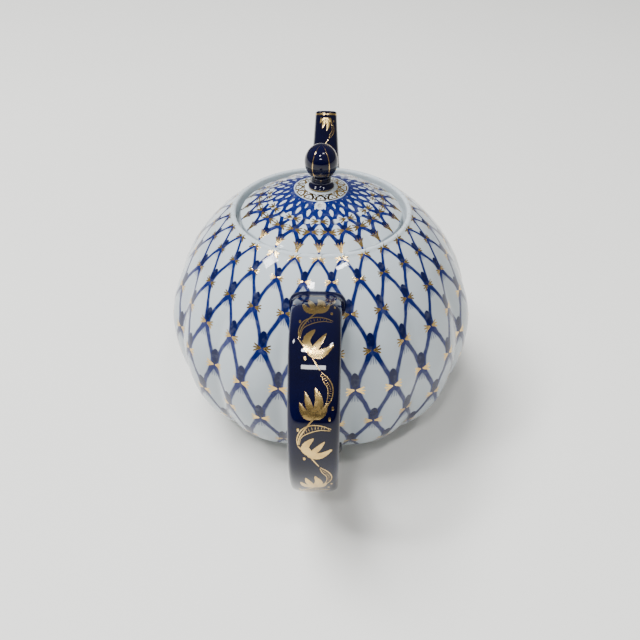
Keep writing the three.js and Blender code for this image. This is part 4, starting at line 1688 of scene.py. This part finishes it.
HANDLE_TOP_BAND = surface_crossing(handle_line) + BAND_OFFSET
HANDLE_FOOT_BAND = surface_crossing(handle_line, backward=True) - BAND_OFFSET
handle_vine = gild(
    "handle_vine", handle_fine, HANDLE_MAP, draw_vine(), copies=(1, 5), first=(0, -VINE_PERIOD),
    step=(1, VINE_PERIOD), span=(HANDLE_TOP_BAND + BAND_CLEAR, HANDLE_FOOT_BAND - BAND_CLEAR),
)

# %% [markdown]
# ## Gold on the spout, and the bands
#
# A smaller length of the same vine climbs the spout on the side that faces the pot and on the side that
# faces away. Plain bands close off the solid cobalt where the handle meets the white body, and one trims
# the lip.

# %% Vine and bands
TUBE_TURN = 44
SPOUT_MAP = map_of(TUBE_TURN, 0, SPOUT_LENGTH / OUTER_SHARE)
SPOUT_VINE = 0.75
VINE_END = 62
SPOUT_CLEAR = 14
vine_step = VINE_PERIOD * SPOUT_VINE
spout_start = surface_crossing(spout_line) + SPOUT_CLEAR
spout_vine = gild(
    "spout_vine", spout_fine, SPOUT_MAP, draw_vine(SPOUT_VINE), copies=(2, 5),
    first=(0, SPOUT_LENGTH - VINE_END * SPOUT_VINE - 3 * vine_step), step=(TUBE_TURN / 2, vine_step),
    span=(spout_start, SPOUT_LENGTH - 2.2),
)
lip_ring = draw_ring(SPOUT_MAP, SPOUT_LENGTH - 0.7, 0.8)
spout_lip_band = gild("spout_lip_band", spout_fine, SPOUT_MAP, lip_ring)
upper_ring = draw_ring(HANDLE_MAP, HANDLE_TOP_BAND, BAND_HALF)
handle_top_band = gild("handle_top_band", handle_fine, HANDLE_MAP, upper_ring)
lower_ring = draw_ring(HANDLE_MAP, HANDLE_FOOT_BAND, BAND_HALF)
handle_foot_band = gild("handle_foot_band", handle_fine, HANDLE_MAP, lower_ring)

# %% [markdown]
# ## A core to trim against
#
# The roots of the handle and the spout must end inside the body's wall. Each was swept a little too far,
# and is now cut with a solid that is the body's own outside, a millimetre or so smaller. The cut comes
# after the gilding, because the gold is laid by the uncut map.

# %% The core
CORE_DEPTH = 1.3


def make_core():
    slope = np.gradient(OUTSIDE, axis=0)
    inward = np.column_stack([-slope[:, 1], slope[:, 0]])
    inward /= np.linalg.norm(inward, axis=1)[:, None]
    inside = OUTSIDE + inward * CORE_DEPTH
    outline = Outline(0, inside[0][1]).line(*inside[0], steps=2)
    first = len(outline.points)
    outline.points += [tuple(p) for p in inside[1:]]
    last = len(outline.points)
    outline.line(0, inside[-1][1], steps=2)
    down = np.linspace(0, 1, len(outline.points))
    press = press_of(outline, first, last)
    return turned_piece("core", outline, down, net_porcelain, press=press, turns=LOBES * 12)


for piece in (handle_fine, spout_fine):
    cut_away(piece, make_core())
    print(piece.name + ":", triangles(piece), "triangles once trimmed")

# %% [markdown]
# ## What each piece rides on
#
# The pot is one body. The lid and its knob are the other, which lifts straight up. Each fine shape takes
# the place of its CAD piece, and the gold rides with what it is fired on.

# %% Bodies and replacements
for piece, body, node, slot in (
    (pot_fine, "pot", "pot_body", "porcelain_net"),
    (spout_fine, "pot", "spout", "cobalt_gilt"),
    (handle_fine, "pot", "handle", "cobalt_gilt"),
    (lid_fine, "cover", "lid", "porcelain_net_lid"),
    (knob_fine, "cover", "knob", "cobalt_gilt"),
):
    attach(piece, body)
    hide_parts(node)

pot_gold = (
    body_stars, rim_stars, handle_vine, handle_top_band, handle_foot_band, spout_vine, spout_lip_band,
)
cover_gold = (edge_fans, lid_bows, lid_stars, lid_collar, knob_lines, knob_band)
for body, pieces in (("pot", pot_gold), ("cover", cover_gold)):
    for piece in pieces:
        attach(piece, body)
print("pieces of gold:", len(pot_gold) + len(cover_gold))

# %% [markdown]
# ## Camera
#
# The camera looks down on the pot from behind its handle. Like the floor and the light, it isn't part of
# the object.

# %% Camera
CAMERA_PLACE = Vector((-242.5, -6.5, 230.2)) * MM
CAMERA_DOWN = math.radians(38.55)
CAMERA_TURN = math.radians(1.65)

lens = bpy.data.cameras.new("camera")
lens.sensor_width = 36
lens.lens = 38.25
lens.clip_start = 0.01
camera = bpy.data.objects.new("camera", lens)
camera.location = CAMERA_PLACE
camera.rotation_euler = (math.pi / 2 - CAMERA_DOWN, 0, CAMERA_TURN - math.pi / 2)
bpy.context.scene.collection.objects.link(camera)
bpy.context.scene.camera = camera
print("camera at", [round(v / MM) for v in camera.location], "mm")

# %% [markdown]
# ## Floor
#
# The floor is a plain pale sheet, a hair below the foot ring.

# %% Floor
FLOOR_REACH = 4000
FLOOR_DROP = 0.05
FLOOR_DARK = (0.66, 0.66, 0.635, 1)
FLOOR_PALE = (0.70, 0.70, 0.675, 1)


def make_floor():
    material, bench = new_material("pale_floor")
    place = object_place(bench)
    tone = bench.noise(place, 3, detail=2.0)
    colour = bench.blend(tone, FLOOR_DARK, FLOOR_PALE)
    finish_material(bench, {"Base Color": colour, "Roughness": 0.55, "Specular IOR Level": 0.3})
    around = ((-1, -1), (1, -1), (1, 1), (-1, 1))
    corners = [(x * FLOOR_REACH, y * FLOOR_REACH, -FLOOR_DROP) for x, y in around]
    floor = new_piece("floor", corners, faces=[(0, 1, 2, 3)])
    floor.data.materials.append(material)
    floor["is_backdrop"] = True


make_floor()
print("floor reaches", FLOOR_REACH / 1000, "m each way")

# %% [markdown]
# ## Light
#
# A soft sky lights the pot, with a few lamps that draw the window-like glints on the glaze.

# %% Light
def sky(strength, dimmed):
    """A soft even sky that is dimmed low down behind the camera, where whoever looks on stands."""
    world = bpy.data.worlds.new("soft_sky")
    bpy.context.scene.world = world
    world.use_nodes = True
    world.node_tree.nodes.clear()
    bench = Bench(world.node_tree)
    toward_spout, _, up = bench.split(bench.add("ShaderNodeTexCoord")["Generated"])
    share = bench.smooth(toward_spout + 1.3 * up, -0.8, -0.1)
    level = share * (strength - dimmed) + dimmed
    background = bench.add("ShaderNodeBackground", {}, {"Color": (1.0, 0.995, 0.98, 1), "Strength": level})
    bench.add("ShaderNodeOutputWorld", {}, {"Surface": background[0]})


def lamp(name, azimuth, elevation, distance, width, height, power, glints=True):
    """A rectangular lamp that faces the pot from a compass direction, measured from the spout."""
    light = bpy.data.lights.new(name, "AREA")
    light.shape = "RECTANGLE"
    light.size = width * MM
    light.size_y = height * MM
    light.energy = power
    a, e = math.radians(azimuth), math.radians(elevation)
    way = Vector((math.cos(a) * math.cos(e), math.sin(a) * math.cos(e), math.sin(e)))
    target = Vector((0, 0, 60)) * MM
    thing = bpy.data.objects.new(name, light)
    thing.location = target + way * distance * MM
    thing.rotation_euler = way.to_track_quat("Z", "Y").to_euler()
    thing.visible_glossy = glints
    bpy.context.scene.collection.objects.link(thing)


sky(0.26, 0.03)
lamp(
    "overhead_softbox", azimuth=75, elevation=68, distance=2200, width=1500, height=1100, power=108,
    glints=False,
)
lamp("window", azimuth=104, elevation=54, distance=1500, width=190, height=260, power=9)
lamp("ceiling_lamp", azimuth=168, elevation=55, distance=1500, width=130, height=130, power=7)
lamp("far_window", azimuth=-140, elevation=66, distance=1600, width=260, height=80, power=6)
lamp("low_window", azimuth=177, elevation=34, distance=1700, width=420, height=100, power=5)
print("lamps:", len(bpy.data.lights))

# %% Sizes and finish
sizes = {"cad": cad_box, "visual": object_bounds()}
sizes = {key: [[float(v) for v in corner] for corner in value] for key, value in sizes.items()}
print("sizes:", sizes)
